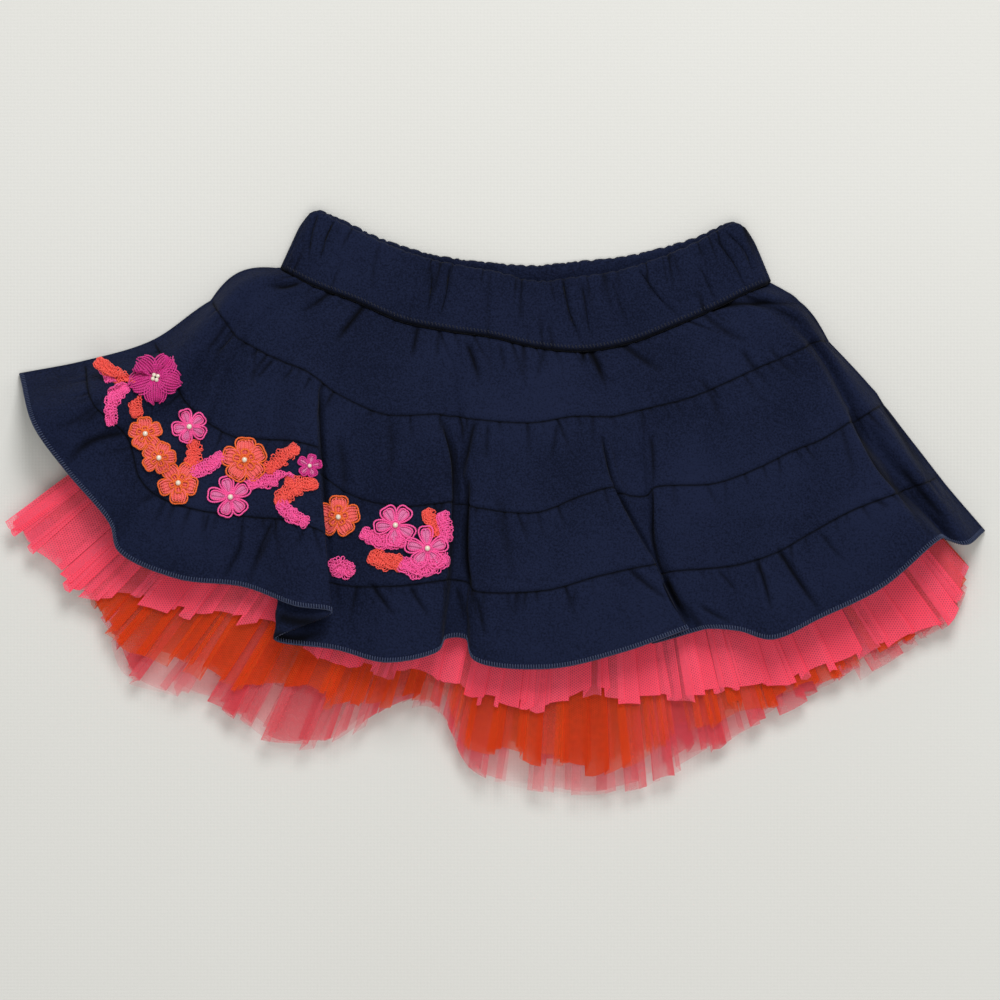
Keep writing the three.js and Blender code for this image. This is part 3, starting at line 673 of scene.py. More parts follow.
@dataclass(frozen=True)
class FloorFinish:
    """Primed canvas board, a plain woven ground under matt paint: pale, with a faint thread every 1.6 mm."""

    name: str = "primed_canvas_board"
    dye: Dye = Dye.BOARD
    thread_mm: float = 1.6

    def material(self) -> bpy.types.Material:
        """Wires the paint, its slow unevenness and the canvas below it."""
        material, add = blank_material(self.name)
        place = add("ShaderNodeTexCoord").outputs["Object"]
        axes = add("ShaderNodeSeparateXYZ", {"Vector": place})
        # Warp and weft show through the paint as a low even grid, with slubs where a yarn is thicker
        turns = 2 * math.pi / (self.thread_mm * MM)
        phases = [add("ShaderNodeMath", {0: axes.outputs[axis], 1: turns}, operation="MULTIPLY") for axis in "XY"]
        warp, weft = (add("ShaderNodeMath", {0: phase}, operation="SINE") for phase in phases)
        slub = add("ShaderNodeTexNoise", {"Vector": place, "Scale": 260.0, "Detail": 2.0})
        canvas = add("ShaderNodeMath", {0: warp, 1: weft}, operation="ADD")
        height = add("ShaderNodeMath", {0: canvas, 1: 0.25, 2: slub}, operation="MULTIPLY_ADD")
        bump = add("ShaderNodeBump", {"Height": height, "Strength": 0.2, "Distance": 0.3 * MM})
        cloud = add("ShaderNodeTexNoise", {"Vector": place, "Scale": 5.0, "Detail": 2.0})
        mixed = add("ShaderNodeMix", {0: cloud, **self.dye.tones()}, data_type="RGBA")
        colour = mixed.outputs[MIX_RESULT]
        body = add("ShaderNodeBsdfPrincipled", {"Base Color": colour, "Roughness": 0.85, "Normal": bump})
        add("ShaderNodeOutputMaterial", {"Surface": body})
        return material


class SkirtForm:
    """The lines that the whole skirt shares, as the frame has them: waist seam, tier folds and tulle fan."""

    def __init__(self) -> None:
        """Works out the waist seam and the tier curves once."""
        self.waist = even_spline([row[0] for row in BAND_SECTIONS], np.linspace(0, 1, 121))
        self.front_levels = self.fold_points(FRONT_FOLDS)
        self.back_levels = self.back_points()
        self.tips = even_spline([ray[0] for ray in TULLE_RAYS], np.linspace(0, 1, 801))
        self.tip_run = run_length(self.tips)

    def waist_y(self, x: np.ndarray) -> np.ndarray:
        """Gives the waist seam's Y at an X."""
        return np.interp(x, self.waist[:, 0], self.waist[:, 1])

    def side_rise(self, x: np.ndarray) -> np.ndarray:
        """Gives how far the stack has risen at an X of the waist seam, from 0 at a side to 1."""
        distance = np.minimum(x - self.waist[0, 0], self.waist[-1, 0] - x)
        left = 1 - np.clip(distance / SIDE_ROUNDING, 0, 1)
        return np.sqrt(np.clip(1 - left * left, 0, 1))

    def fold_points(self, rows: Sequence[tuple]) -> np.ndarray:
        """Gives where fold lines cross the waist, each seam and the hem, with shape (5, rows, 3).

        Args:
            rows: The fold lines, as the table gives them.

        Returns:
            The crossings, waist first.
        """
        waist_x = np.array([row[0] for row in rows], float)
        crossing = [np.stack([waist_x, self.waist_y(waist_x)], axis=1)]
        crossing += [np.array([row[level] for row in rows], float) for level in range(1, 5)]
        waist_height = SIDE_MID + (WAIST_MID - SIDE_MID) * self.side_rise(waist_x)
        height = np.array([row[5] for row in rows], float)
        levels = []
        for level, place in enumerate(crossing):
            rise = waist_height + (height - waist_height) * RISE[level]
            levels.append(np.column_stack([place, rise]))
        return np.stack(levels)

    def back_points(self) -> np.ndarray:
        """Gives the back's crossings, flat on the floor with the hem drawn up."""
        points = self.fold_points([FRONT_FOLDS[row] for row in BACK_FOLD_ROWS])
        points[4] = points[3] + (points[4] - points[3]) * BACK_HEM_SHARE
        points[..., 2] = BACK_MID
        return points

    def even_columns(self, levels: np.ndarray, spacing: float) -> np.ndarray:
        """Gives shares across that space the columns evenly by the cloth's own width."""
        dense = np.linspace(0, 1, 4001)
        lines = smooth_line(levels[[1, 2, 4]], dense)
        run = np.mean([run_length(line) / run_length(line)[-1] for line in lines], axis=0)
        widest = max(run_length(line)[-1] for line in lines)
        return np.interp(np.linspace(0, 1, int(widest / spacing) + 1), run, dense)

    def tier_grid(self, levels: np.ndarray, across: np.ndarray, down: np.ndarray) -> np.ndarray:
        """Gives the cloth's middle surface.

        Args:
            levels: The crossings of the folds, with shape (5, folds, 3).
            across: Shares across, from the left side to the right.
            down: Levels, from 0 at the waist to 4 at the hem.

        Returns:
            A grid with shape (len(down), len(across), 3).
        """
        crossings = smooth_line(levels, across)
        crossings[0, :, 1] = self.waist_y(crossings[0, :, 0])
        grid = smooth_line(np.swapaxes(crossings, 0, 1), np.asarray(down) / TIERS)
        for (push, reach), inward in ((LEFT_SHOULDER, across), (RIGHT_SHOULDER, 1 - across)):
            near = np.clip(1 - inward / reach, 0, 1) * (inward < 0.5)
            amount = near[:, None] * np.sin(math.pi * np.minimum(down, 1))[None, :]
            grid[..., 0] += push[0] * amount
            grid[..., 1] += push[1] * amount
        return np.swapaxes(grid, 0, 1)

    def fan_ray(self, run: np.ndarray) -> tuple[np.ndarray, np.ndarray, np.ndarray]:
        """Gives the tulle's rays at a run along the tips: share across, foot at the waist, and tip.

        Args:
            run: Millimetres along the curve of tips, from the left.

        Returns:
            The share across, the foot and the tip of each ray.
        """
        across = np.interp(run, self.tip_run, np.linspace(0, 1, len(self.tips)))
        start_x = FAN_LEFT + (FAN_RIGHT - FAN_LEFT) * across
        start = np.stack([start_x, self.waist_y(start_x) - FAN_DROP], axis=-1)
        tip = np.stack([np.interp(run, self.tip_run, self.tips[:, axis]) for axis in (0, 1)], axis=-1)
        return across, start, tip

    def fan_point(
        self,
        run: np.ndarray,
        share: np.ndarray,
        base: float,
        follow: float,
        wave_share: float = 1.0,
    ) -> np.ndarray:
        """Gives a point of the tulle fan.

        Args:
            run: Millimetres along the curve of tips, from the left.
            share: The share of the way from the waist to the tip.
            base: The layer's middle height in the pressed stack.
            follow: How far the layer takes part in the fan's height.
            wave_share: How much of the frame's pleats shows, where 0 gives their mean.

        Returns:
            The points, with three values along the last axis.
        """
        across, start, tip = self.fan_ray(run)
        place = start + (tip - start) * share[..., None]
        phase = across * FAN_PLEATS + PLEAT_UNEVENNESS * np.sin(across * FAN_PLEATS * PLEAT_BEAT)
        wave = 0.5 - 0.5 * wave_share * np.cos(phase * 2 * math.pi)
        inside = np.clip(share, 0, 1)
        rise = np.interp(inside, FAN_SHARE, FAN_LIFT) + np.interp(inside, FAN_SHARE, FAN_PLEAT) * wave
        side = np.sin(math.pi * np.clip(across, 0, 1)) ** FAN_SIDE_POWER
        return np.concatenate([place, (base + follow * side * rise)[..., None]], axis=-1)


@dataclass(frozen=True)
class Crease:
    """A trough in the cloth, placed from the photograph."""

    seen: tuple[tuple[float, float], ...]
    depth: float
    width: float
    points: int = 160
    reach: float = 3.5
    tightness: float = 0.72
    ridge: tuple[float, float] = (0.32, 2.1)
    darkest_at: float = 1.6
    shade_tightness: float = 1.25

    def depth_at(self, places: np.ndarray) -> tuple[np.ndarray, np.ndarray]:
        """Gives how far each place is pushed in, with a soft ridge beside the trough, and the painted shade along the
        trough.

        Args:
            places: XY places in table millimetres.

        Returns:
            The push in millimetres and the painted shade from 0 to 1, for each place.
        """
        line = even_spline([seen_at(*point) for point in self.seen], np.linspace(0, 1, self.points))
        push, shade = np.zeros(len(places)), np.zeros(len(places))
        margin = self.width * self.reach
        inside = (places > line.min(axis=0) - margin) & (places < line.max(axis=0) + margin)
        close = np.flatnonzero(inside.all(axis=1))
        if not len(close):
            return push, shade
        gap = np.linalg.norm(places[close][:, None, :] - line[None, :, :], axis=2)
        near = gap.argmin(axis=1)
        distance = gap[np.arange(len(close)), near] / (self.width * self.tightness)
        share = near / (self.points - 1)
        taper = np.minimum(1, (1 - share) * 2.4) * np.minimum(1, share * 4 + 0.4)
        trough = bell(distance) - self.ridge[0] * bell(distance - self.ridge[1])
        push[close] = self.depth * taper * trough
        # Painted shade along the trough's line, the darker the deeper the crease
        darkness = np.clip(self.depth / self.darkest_at, 0, 1)
        shade[close] = darkness * taper * bell(distance * self.shade_tightness)
        return push, shade


def creased(grid: np.ndarray, creases: Sequence[Crease]) -> tuple[np.ndarray, np.ndarray]:
    """Pushes a grid in along its normals at each crease, and gives the painted shade at each point.

    Args:
        grid: The middle points.
        creases: The creases to press in.

    Returns:
        The new grid, and the painted shade of each point.
    """
    places = grid[..., :2].reshape(-1, 2)
    depth, pinch = np.zeros(len(places)), np.zeros(len(places))
    for crease in creases:
        deep, dark = crease.depth_at(places)
        depth += deep
        pinch = np.maximum(pinch, dark)
    shape = grid.shape[:2]
    return grid - grid_normals(grid) * depth.reshape(shape)[..., None], pinch.reshape(shape)


def rolled_sides(grid: np.ndarray, low: float) -> np.ndarray:
    """Adds a half-round fold at each side of a front panel, down to the back panel's middle height.

    Args:
        grid: The front's middle points.
        low: The back's middle height.

    Returns:
        The grid with its folds' columns on both sides.
    """
    parts = [grid]
    for edge, inner, first in ((grid[:, 0], grid[:, 1], True), (grid[:, -1], grid[:, -2], False)):
        out = edge - inner
        out[:, 2] = 0
        out = unit(out)
        half = (edge[:, 2] - low) / 2
        columns = []
        for angle in np.radians(FOLD_ANGLES):
            column = edge + out * (half * math.sin(angle))[:, None]
            column[:, 2] = edge[:, 2] - half * (1 - math.cos(angle))
            columns.append(column[:, None, :])
        if first:
            parts = [*columns[::-1], *parts]
        else:
            parts = [*parts, *columns]
    return np.concatenate(parts, axis=1)


@dataclass
class Gathers:
    """Small gathers that radiate from a seam, unevenly spread."""

    seed: int
    spacing: tuple[float, float] = (3.5, 11.0)
    depth: tuple[float, float] = (0.25, 1.1)
    length: tuple[float, float] = (4.0, 15.0)
    width: tuple[float, float] = (0.75, 1.25)
    lean: tuple[float, float] = (-0.3, 0.3)
    spread: float = 14.0
    fade: float = 1.5

    def depth_at(self, run: np.ndarray, below: np.ndarray) -> np.ndarray:
        """Gives the depth over a grid.

        Args:
            run: Millimetres along the seam for each column.
            below: Millimetres below the seam for each point, with shape (rows, columns).

        Returns:
            The depths, with the shape of below.
        """
        chance = np.random.default_rng(self.seed)
        depth = np.zeros_like(below)
        place = chance.uniform(*self.spacing)
        while place < run[-1]:
            deep, long, wide = (chance.uniform(*span) for span in (self.depth, self.length, self.width))
            lean = chance.uniform(*self.lean)
            offset = (run[None, :] - place - lean * below) / (wide * (1 + below / self.spread))
            depth += deep * bell(offset) * bell(below / long, self.fade)
            place += chance.uniform(*self.spacing)
        return depth


# Each crease: its line in the photograph's pixels, then depth and width in millimetres; each also paints shade along
# its line, darker the deeper it is
BAND_CREASES = tuple(Crease(*row) for row in (
    (((318, 216), (312, 236), (309, 262)), 1.6, 1.2),
    (((334, 222), (326, 240), (320, 262)), 1.9, 1.2),
    (((432, 268), (431, 290), (427, 316)), 1.9, 1.0),
    (((449, 268), (446, 295), (439, 320)), 1.9, 1.0),
    (((563, 285), (570, 315), (582, 345)), 1.9, 1.3),
    (((582, 284), (586, 310), (590, 340)), 1.4, 1.3),
    (((640, 272), (657, 296), (680, 318)), 1.9, 1.3),
    (((700, 268), (708, 286), (716, 305)), 1, 1.4),
    (((715, 240), (733, 264), (745, 290)), 1.4, 1.5),
    (((726, 233), (744, 252), (752, 276)), 1.2, 1.3),
    (((380, 245), (374, 268), (372, 296)), 0.58, 1.8),
    (((490, 275), (488, 300), (486, 326)), 0.58, 1.6),
    (((520, 278), (522, 306), (524, 332)), 0.51, 1.6),
    (((612, 282), (620, 305), (628, 330)), 0.72, 1.6),
))
CLOTH_CREASES = tuple(Crease(*row) for row in (
    (((365, 305), (350, 325), (335, 344)), 1.7, 2.4),
    (((335, 288), (320, 301), (303, 313)), 1.3, 2.2),
    (((300, 283), (285, 287), (268, 286)), 1.6, 2.0),
    (((418, 327), (415, 342), (411, 360)), 1.4, 1.8),
    (((440, 332), (438, 345), (437, 358)), 0.8, 1.5),
    (((468, 345), (474, 362), (480, 384)), 1.5, 2.2),
    (((500, 346), (503, 360), (504, 374)), 0.7, 1.8),
    (((545, 348), (540, 365), (536, 382)), 0.7, 2.0),
    (((590, 349), (598, 366), (606, 388)), 1.7, 2.4),
    (((620, 343), (640, 358), (664, 374)), 1.2, 2.6),
    (((583, 350), (583, 356), (584, 364)), 1.8, 2.0),
    (((700, 312), (722, 330), (748, 344)), 0.9, 2.4),
    (((712, 306), (756, 303), (802, 305)), 1.8, 2.2),
    (((740, 296), (775, 310), (815, 330)), 0.8, 2.4),
    (((443, 420), (455, 470), (452, 560), (441, 640)), 2.2, 1.9),
    (((475, 422), (468, 448), (460, 480)), 1.5, 2.0),
    (((488, 425), (487, 442), (485, 462)), 0.9, 1.6),
    (((557, 425), (554, 442), (549, 462)), 0.9, 1.7),
    (((468, 482), (466, 560), (479, 622)), 1.8, 1.9),
    (((650, 437), (652, 462), (652, 492)), 1.2, 1.8),
    (((602, 438), (612, 478), (634, 524), (664, 578)), 2.2, 1.4),
    (((651, 492), (652, 540), (662, 580)), 2.0, 1.4),
    (((500, 500), (506, 540), (512, 580)), 0.6, 4.0),
    (((340, 440), (345, 475), (342, 505)), 0.8, 3.0),
    (((390, 420), (392, 450), (388, 480)), 0.7, 3.0),
    (((700, 380), (712, 400), (720, 425)), 0.7, 2.4),
    (((742, 352), (752, 368), (768, 386)), 0.9, 2.2),
    (((770, 350), (782, 366), (800, 380)), 0.7, 2.0),
    (((838, 424), (846, 452), (852, 480)), 0.7, 2.4),
    (((880, 400), (905, 440), (935, 490)), 1.0, 3.0),
    # This trough also paints the shadow along the right fold's edge
    (((850, 414), (874, 462), (898, 492), (931, 540)), 2.4, 2.3),
    (((234, 335), (224, 346), (213, 357)), 1.0, 1.3),
    (((257, 351), (254, 354), (251, 358)), 1.0, 1.2),
    (((274, 361), (266, 370), (256, 381)), 1.2, 1.4),
    (((293, 369), (288, 375), (281, 382)), 1.0, 1.2),
    (((311, 378), (308, 384), (303, 391)), 0.9, 1.2),
    (((228, 325), (218, 340), (206, 356)), 0.9, 1.6),
    (((183, 394), (174, 402), (162, 411)), 1.0, 1.6),
    (((162, 490), (152, 498), (139, 505)), 0.9, 1.6),
    (((128, 433), (92, 443), (66, 466)), 1.5, 2.6),
    (((105, 400), (80, 420), (55, 430)), 0.8, 3.0),
    (((211, 514), (208, 525), (203, 536)), 1.0, 1.3),
    (((243, 545), (234, 562), (224, 582)), 1.1, 1.6),
    (((244, 520), (240, 551), (223, 580)), 1.2, 1.5),
    (((274, 520), (262, 546), (248, 586)), 1.4, 1.6),
    (((280, 518), (266, 548), (247, 584)), 0.8, 1.4),
    (((306, 527), (302, 536), (295, 548)), 1.0, 1.3),
    # These two broad troughs paint the shadow inside the left flare's fold
    (((276, 634), (298, 638), (330, 630)), 1.6, 4.6),
    (((280, 615), (304, 621), (333, 616)), 1.6, 4.6),
    # This trough also paints the shadow beside the left flare's folded edge
    (((322, 388), (322, 430), (325, 480), (329, 530), (333, 590)), 2.0, 1.7),
    (((371, 583), (382, 598), (396, 616)), 1.4, 1.8),
    (((410, 586), (419, 601), (431, 617)), 1.2, 1.6),
    (((457, 588), (461, 603), (464, 622)), 1.2, 1.6),
    (((477, 598), (481, 616), (486, 637)), 1.1, 1.6),
    (((520, 592), (517, 606), (512, 622)), 0.7, 1.5),
    (((575, 588), (572, 600), (566, 612)), 0.7, 1.5),
    (((630, 570), (646, 584), (668, 600)), 1.2, 2.0),
    # This trough also paints the dark shadow under the lap's hem
    (((664, 580), (674, 600), (689, 627)), 2.4, 2.1),
    (((700, 606), (714, 614), (732, 623)), 1.1, 1.6),
    (((718, 571), (726, 580), (736, 592)), 1.0, 1.6),
    (((755, 561), (763, 584), (770, 612)), 1.5, 1.7),
    (((777, 549), (797, 580), (820, 614)), 1.9, 2.0),
    (((820, 535), (830, 548), (842, 560)), 0.8, 1.6),
    (((870, 501), (878, 503), (888, 508)), 0.9, 1.6),
    (((900, 470), (925, 500), (950, 525)), 1.0, 2.4),
))


@dataclass
class Waistband:
    """The elastic waistband: a casing gathered onto its elastic, in one tube of a front and a back."""

    form: SkirtForm
    wall: float = 2.1
    rows: int = 20
    columns: int = 250
    casing_puff: float = 0.55
    edge_scallop: float = 0.9
    corner: float = 4.5
    edge_sharpness: int = 6
    first_gather: float = 2.0
    gather_gap: tuple[float, float] = (2.4, 7.0)
    gather_width: tuple[float, float] = (0.6, 1.4)
    gather_depth: tuple[float, float] = (0.12, 0.62)
    gather_lean: tuple[float, float] = (-2.4, 2.4)
    gather_reach: tuple[float, float] = (0.35, 1.0)
    # Painted shade along the seam at the casing's foot: how dark, and how far up it reaches
    painted_seam_shade: tuple[float, float] = (0.85, 0.035)
    back_ripple: float = 0.25

    def grid(self, top_edge: int, seed: int) -> tuple[np.ndarray, np.ndarray, np.ndarray]:
        """Lays out a band panel flat.

        Args:
            top_edge: Which column of the sections its top edge follows.
            seed: The seed of its gathers.

        Returns:
            The grid of XY points, the share up the band of each row, and the depth of its gathers.
        """
        chance = np.random.default_rng(seed)
        across = np.linspace(0, 1, self.columns)
        seam = even_spline([row[0] for row in BAND_SECTIONS], across)
        top = even_spline([row[top_edge] for row in BAND_SECTIONS], across)
        up = 1 - np.linspace(0, 1, self.rows)
        run = run_length(top)
        scallop = np.zeros(self.columns)
        depth = np.zeros((self.rows, self.columns))
        place = self.first_gather
        while place < run[-1]:
            spans = (self.gather_width, self.gather_depth, self.gather_lean, self.gather_reach)
            wide, deep, lean, reach = (chance.uniform(*span) for span in spans)
            middle = chance.choice([0.0, 1.0])
            offset = (run[None, :] - place - lean * (up[:, None] - 0.5)) / wide
            depth += deep * bell(offset) * np.clip(1.2 - np.abs(up[:, None] - middle) / reach, 0, 1)
            scallop += self.edge_scallop * chance.uniform(0.3, 1) * bell((run - place) / wide)
            place += chance.uniform(*self.gather_gap)
        flat = seam[None] + (top - seam)[None] * up[:, None, None]
        inward = unit(seam - top)
        from_side = np.minimum(run, run[-1] - run)
        bend = np.clip(1 - from_side / self.corner, 0, 1)
        scallop += self.corner * (1 - np.sqrt(1 - bend**2))
        flat = flat + inward[None] * (scallop[None, :] * (up**self.edge_sharpness)[:, None])[..., None]
        return flat, up, depth

    def build(self, crepe: bpy.types.Material) -> bpy.types.Object:
        """Builds the tube: the front's crown puffed over the elastic, the back level on the floor."""
        flat, up, depth = self.grid(1, 11)
        level = WAIST_MID + (BAND_MOUTH_MID - WAIST_MID) * up[:, None]
        puff = self.casing_puff * np.sin(math.pi * np.clip(up, 0, 1))[:, None] ** 0.6
        seam_x = flat[-1, :, 0]
        height = BAND_SIDE_MID + (level + puff - BAND_SIDE_MID) * self.form.side_rise(seam_x)[None, :]
        front = np.concatenate([flat, height[..., None]], axis=-1)
        front, pinch = creased(front, BAND_CREASES)
        front[..., 2] -= depth
        # Painted shade: the gathers' troughs and the seam at the casing's foot are darkened
        pinch = np.maximum(pinch, np.clip(2.0 * (depth - self.gather_depth[0]), 0, 0.9))
        dark, near = self.painted_seam_shade
        pinch = np.maximum(pinch, dark * bell(up[:, None] / near))
        front = rolled_sides(front, BACK_BAND_MID)
        flat_back, _, depth_back = self.grid(2, 12)
        back = np.concatenate([flat_back, np.full((*flat_back.shape[:2], 1), BACK_BAND_MID)], axis=-1)
        back[..., 2] += self.back_ripple * depth_back
        pinch = np.pad(pinch, SIDE_PAD, mode="edge")
        whole = joined([(shell(front, self.wall, pinch=pinch), 0), (shell(back, self.wall), 0)])
        return whole.piece("waistband_casing", crepe)

    def seam_path(self, above: float) -> np.ndarray:
        """Gives the line of a row of stitches on the front band, above its seam."""
        across = np.linspace(0.01, 0.99, 300)
        seam = even_spline([row[0] for row in BAND_SECTIONS], across)
        top = even_spline([row[1] for row in BAND_SECTIONS], across)
        place = seam + unit(top - seam) * above
        height = BAND_SIDE_MID + (WAIST_MID - BAND_SIDE_MID) * self.form.side_rise(seam[:, 0])
        return np.column_stack([place, height + self.wall / 2])


@dataclass
class Tiers:
    """Four tiers of crepe, each gathered onto the one above, in tubes of a front and a back."""

    form: SkirtForm
    wall: float = 0.8
    spacing: float = 1.0
    seam_dip: float = 1.0
    seam_reach: float = 0.8
    tuck: float = 0.022
    row_crowding: float = 0.5
    waist_dip: tuple[float, float] = (2.2, 1.9)
    seam_gap: float = 0.004
    lower_dip: tuple[float, float] = (0.45, 1.0)
    lower_puff: tuple[float, float, float] = (0.15, 2.6, 1.5)
    side_columns: int = 6
    back_spacing: float = 3.0
    back_rows: int = 12
    back_seam_gap: float = 0.006
    fronts: list[np.ndarray] = field(default_factory=list)

    def front(self, tier: int) -> tuple[np.ndarray, np.ndarray, np.ndarray]:
        """Gives a front tier's middle surface, where it is on the flat cloth, and its painted shade.

        Args:
            tier: 0 for the one below the waist, to 3 for the hem.

        Returns:
            The grid, the flat places and the painted shade of each point.
        """
        across = self.form.even_columns(self.form.front_levels, self.spacing)
        top = max(tier - self.tuck, 0.0)
        bottom = tier + 1 - (self.seam_gap if tier < TIERS - 1 else 0)
        probe = self.form.tier_grid(self.form.front_levels, across[::20], np.array([top, bottom]))
        deep = float(np.mean(np.linalg.norm(probe[1] - probe[0], axis=1)))
        rows = max(int(deep / self.spacing), 8) + 1
        even = np.linspace(0, 1, rows)
        level = top + (bottom - top) * (even - self.row_crowding * np.sin(2 * math.pi * even) / (2 * math.pi))
        grid = self.form.tier_grid(self.form.front_levels, across, level)
        below = drop_below(grid)
        run = run_length(grid[0])
        depth = Gathers(40 + tier).depth_at(run, below)
        # Painted shade: the gathers' troughs, and narrow bands just below and just above the seams, are darkened
        painted_gather_and_seam_shade = np.clip(depth - 0.18, 0, 0.8)
        dip, reach = self.waist_dip if tier == 0 else (self.seam_dip, self.seam_reach)
        depth += dip * bell(below / reach)
        painted_gather_and_seam_shade = np.maximum(painted_gather_and_seam_shade, bell(np.maximum(below - 0.85, 0) / 0.65))
        if tier < TIERS - 1:
            above_seam = below[-1:] - below
            dip, reach = self.lower_dip
            puff, middle, width = self.lower_puff
            depth += dip * bell(above_seam / reach) - puff * bell((above_seam - middle) / width)
            painted_gather_and_seam_shade = np.maximum(painted_gather_and_seam_shade, bell(above_seam / 0.6))
        side = np.minimum(np.arange(len(across)), np.arange(len(across))[::-1]) / self.side_columns
        grid, pinch = creased(grid, CLOTH_CREASES)
        pinch = np.maximum(pinch, painted_gather_and_seam_shade * np.clip(side, 0, 1)[None, :])
        grid = grid - grid_normals(grid) * (depth * np.clip(side, 0, 1)[None, :])[..., None]
        self.fronts.append(grid)
        whole = rolled_sides(grid, BACK_MID)
        hem_run = run_length(whole[-1])
        down = np.pad(below, SIDE_PAD, mode="edge")
        flat = np.stack([np.broadcast_to(hem_run, down.shape), -down], axis=-1)
        return whole, flat, np.pad(pinch, SIDE_PAD, mode="edge")

    def back(self, tier: int) -> tuple[np.ndarray, np.ndarray]:
        """Gives a back tier's middle surface, level on the floor, and where it is on the flat cloth.

        Args:
            tier: 0 for the one below the waist, to 3 for the hem.

        Returns:
            The grid and the flat places.
        """
        across = self.form.even_columns(self.form.back_levels, self.back_spacing)
        top = max(tier - self.tuck * 0.3, 0.0)
        level = top + (tier + 1 - self.back_seam_gap - top) * np.linspace(0, 1, self.back_rows)
        grid = self.form.tier_grid(self.form.back_levels, across, level)
        grid[..., 2] = BACK_MID
        below = drop_below(grid)
        ridge = Gathers(60 + tier, depth=(0.1, 0.3)).depth_at(run_length(grid[0]), below)
        grid[..., 2] += ridge * 0.7
        flat = np.stack([np.broadcast_to(run_length(grid[-1]), below.shape), -below], axis=-1)
        return grid, flat

    def build(self, tier: int, crepe: bpy.types.Material) -> tuple[bpy.types.Object, tuple[float, float, float]]:
        """Builds one tier and measures its flat cut.

        Args:
            tier: 0 for the one below the waist, to 3 for the hem.
            crepe: The cloth's material.

        Returns:
            The piece, and the cut's width, length and area in metres.
        """
        front, front_flat, pinch = self.front(tier)
        back, back_flat = self.back(tier)
        front_shell = shell(front, self.wall, front_flat, pinch)
        whole = joined([(front_shell, 0), (shell(back, self.wall, back_flat), 0)])
        width = (run_length(front[-1])[-1] + run_length(back[-1])[-1]) * MM
        narrow = (run_length(front[0])[-1] + run_length(back[0])[-1]) * MM
        length = float(np.mean(-front_flat[-1, :, 1])) * MM
        return whole.piece(f"tier_{tier + 1}_crepe", crepe), (width, length, (width + narrow) / 2 * length)


@dataclass(frozen=True)
class Layer:
    """One tulle layer: a front and a back panel of one net."""

    name: str
    hem: int
    front_mid: float
    back_mid: float
    follow: float
    fold: float
    widths: tuple[float, float]
    overlap: tuple[float, float]
    jitter: float
    covers: tuple[float, ...]
    seed: int


@dataclass(frozen=True)
class Patch:
    """A place on the under or middle net where the photograph shows it fuller or thinner, from X to both sides."""

    middle: float
    half: float
    power: int = 4

    def at(self, x: np.ndarray) -> np.ndarray:
        """Gives how much of the patch is at each X."""
        return bell((x - self.middle) / self.half, self.power)


FILM = Patch(28, 44)
FULL_LOBE = Patch(84, 17)
LEFT_GAP = Patch(-24, 9)
FILM_TOP = -116


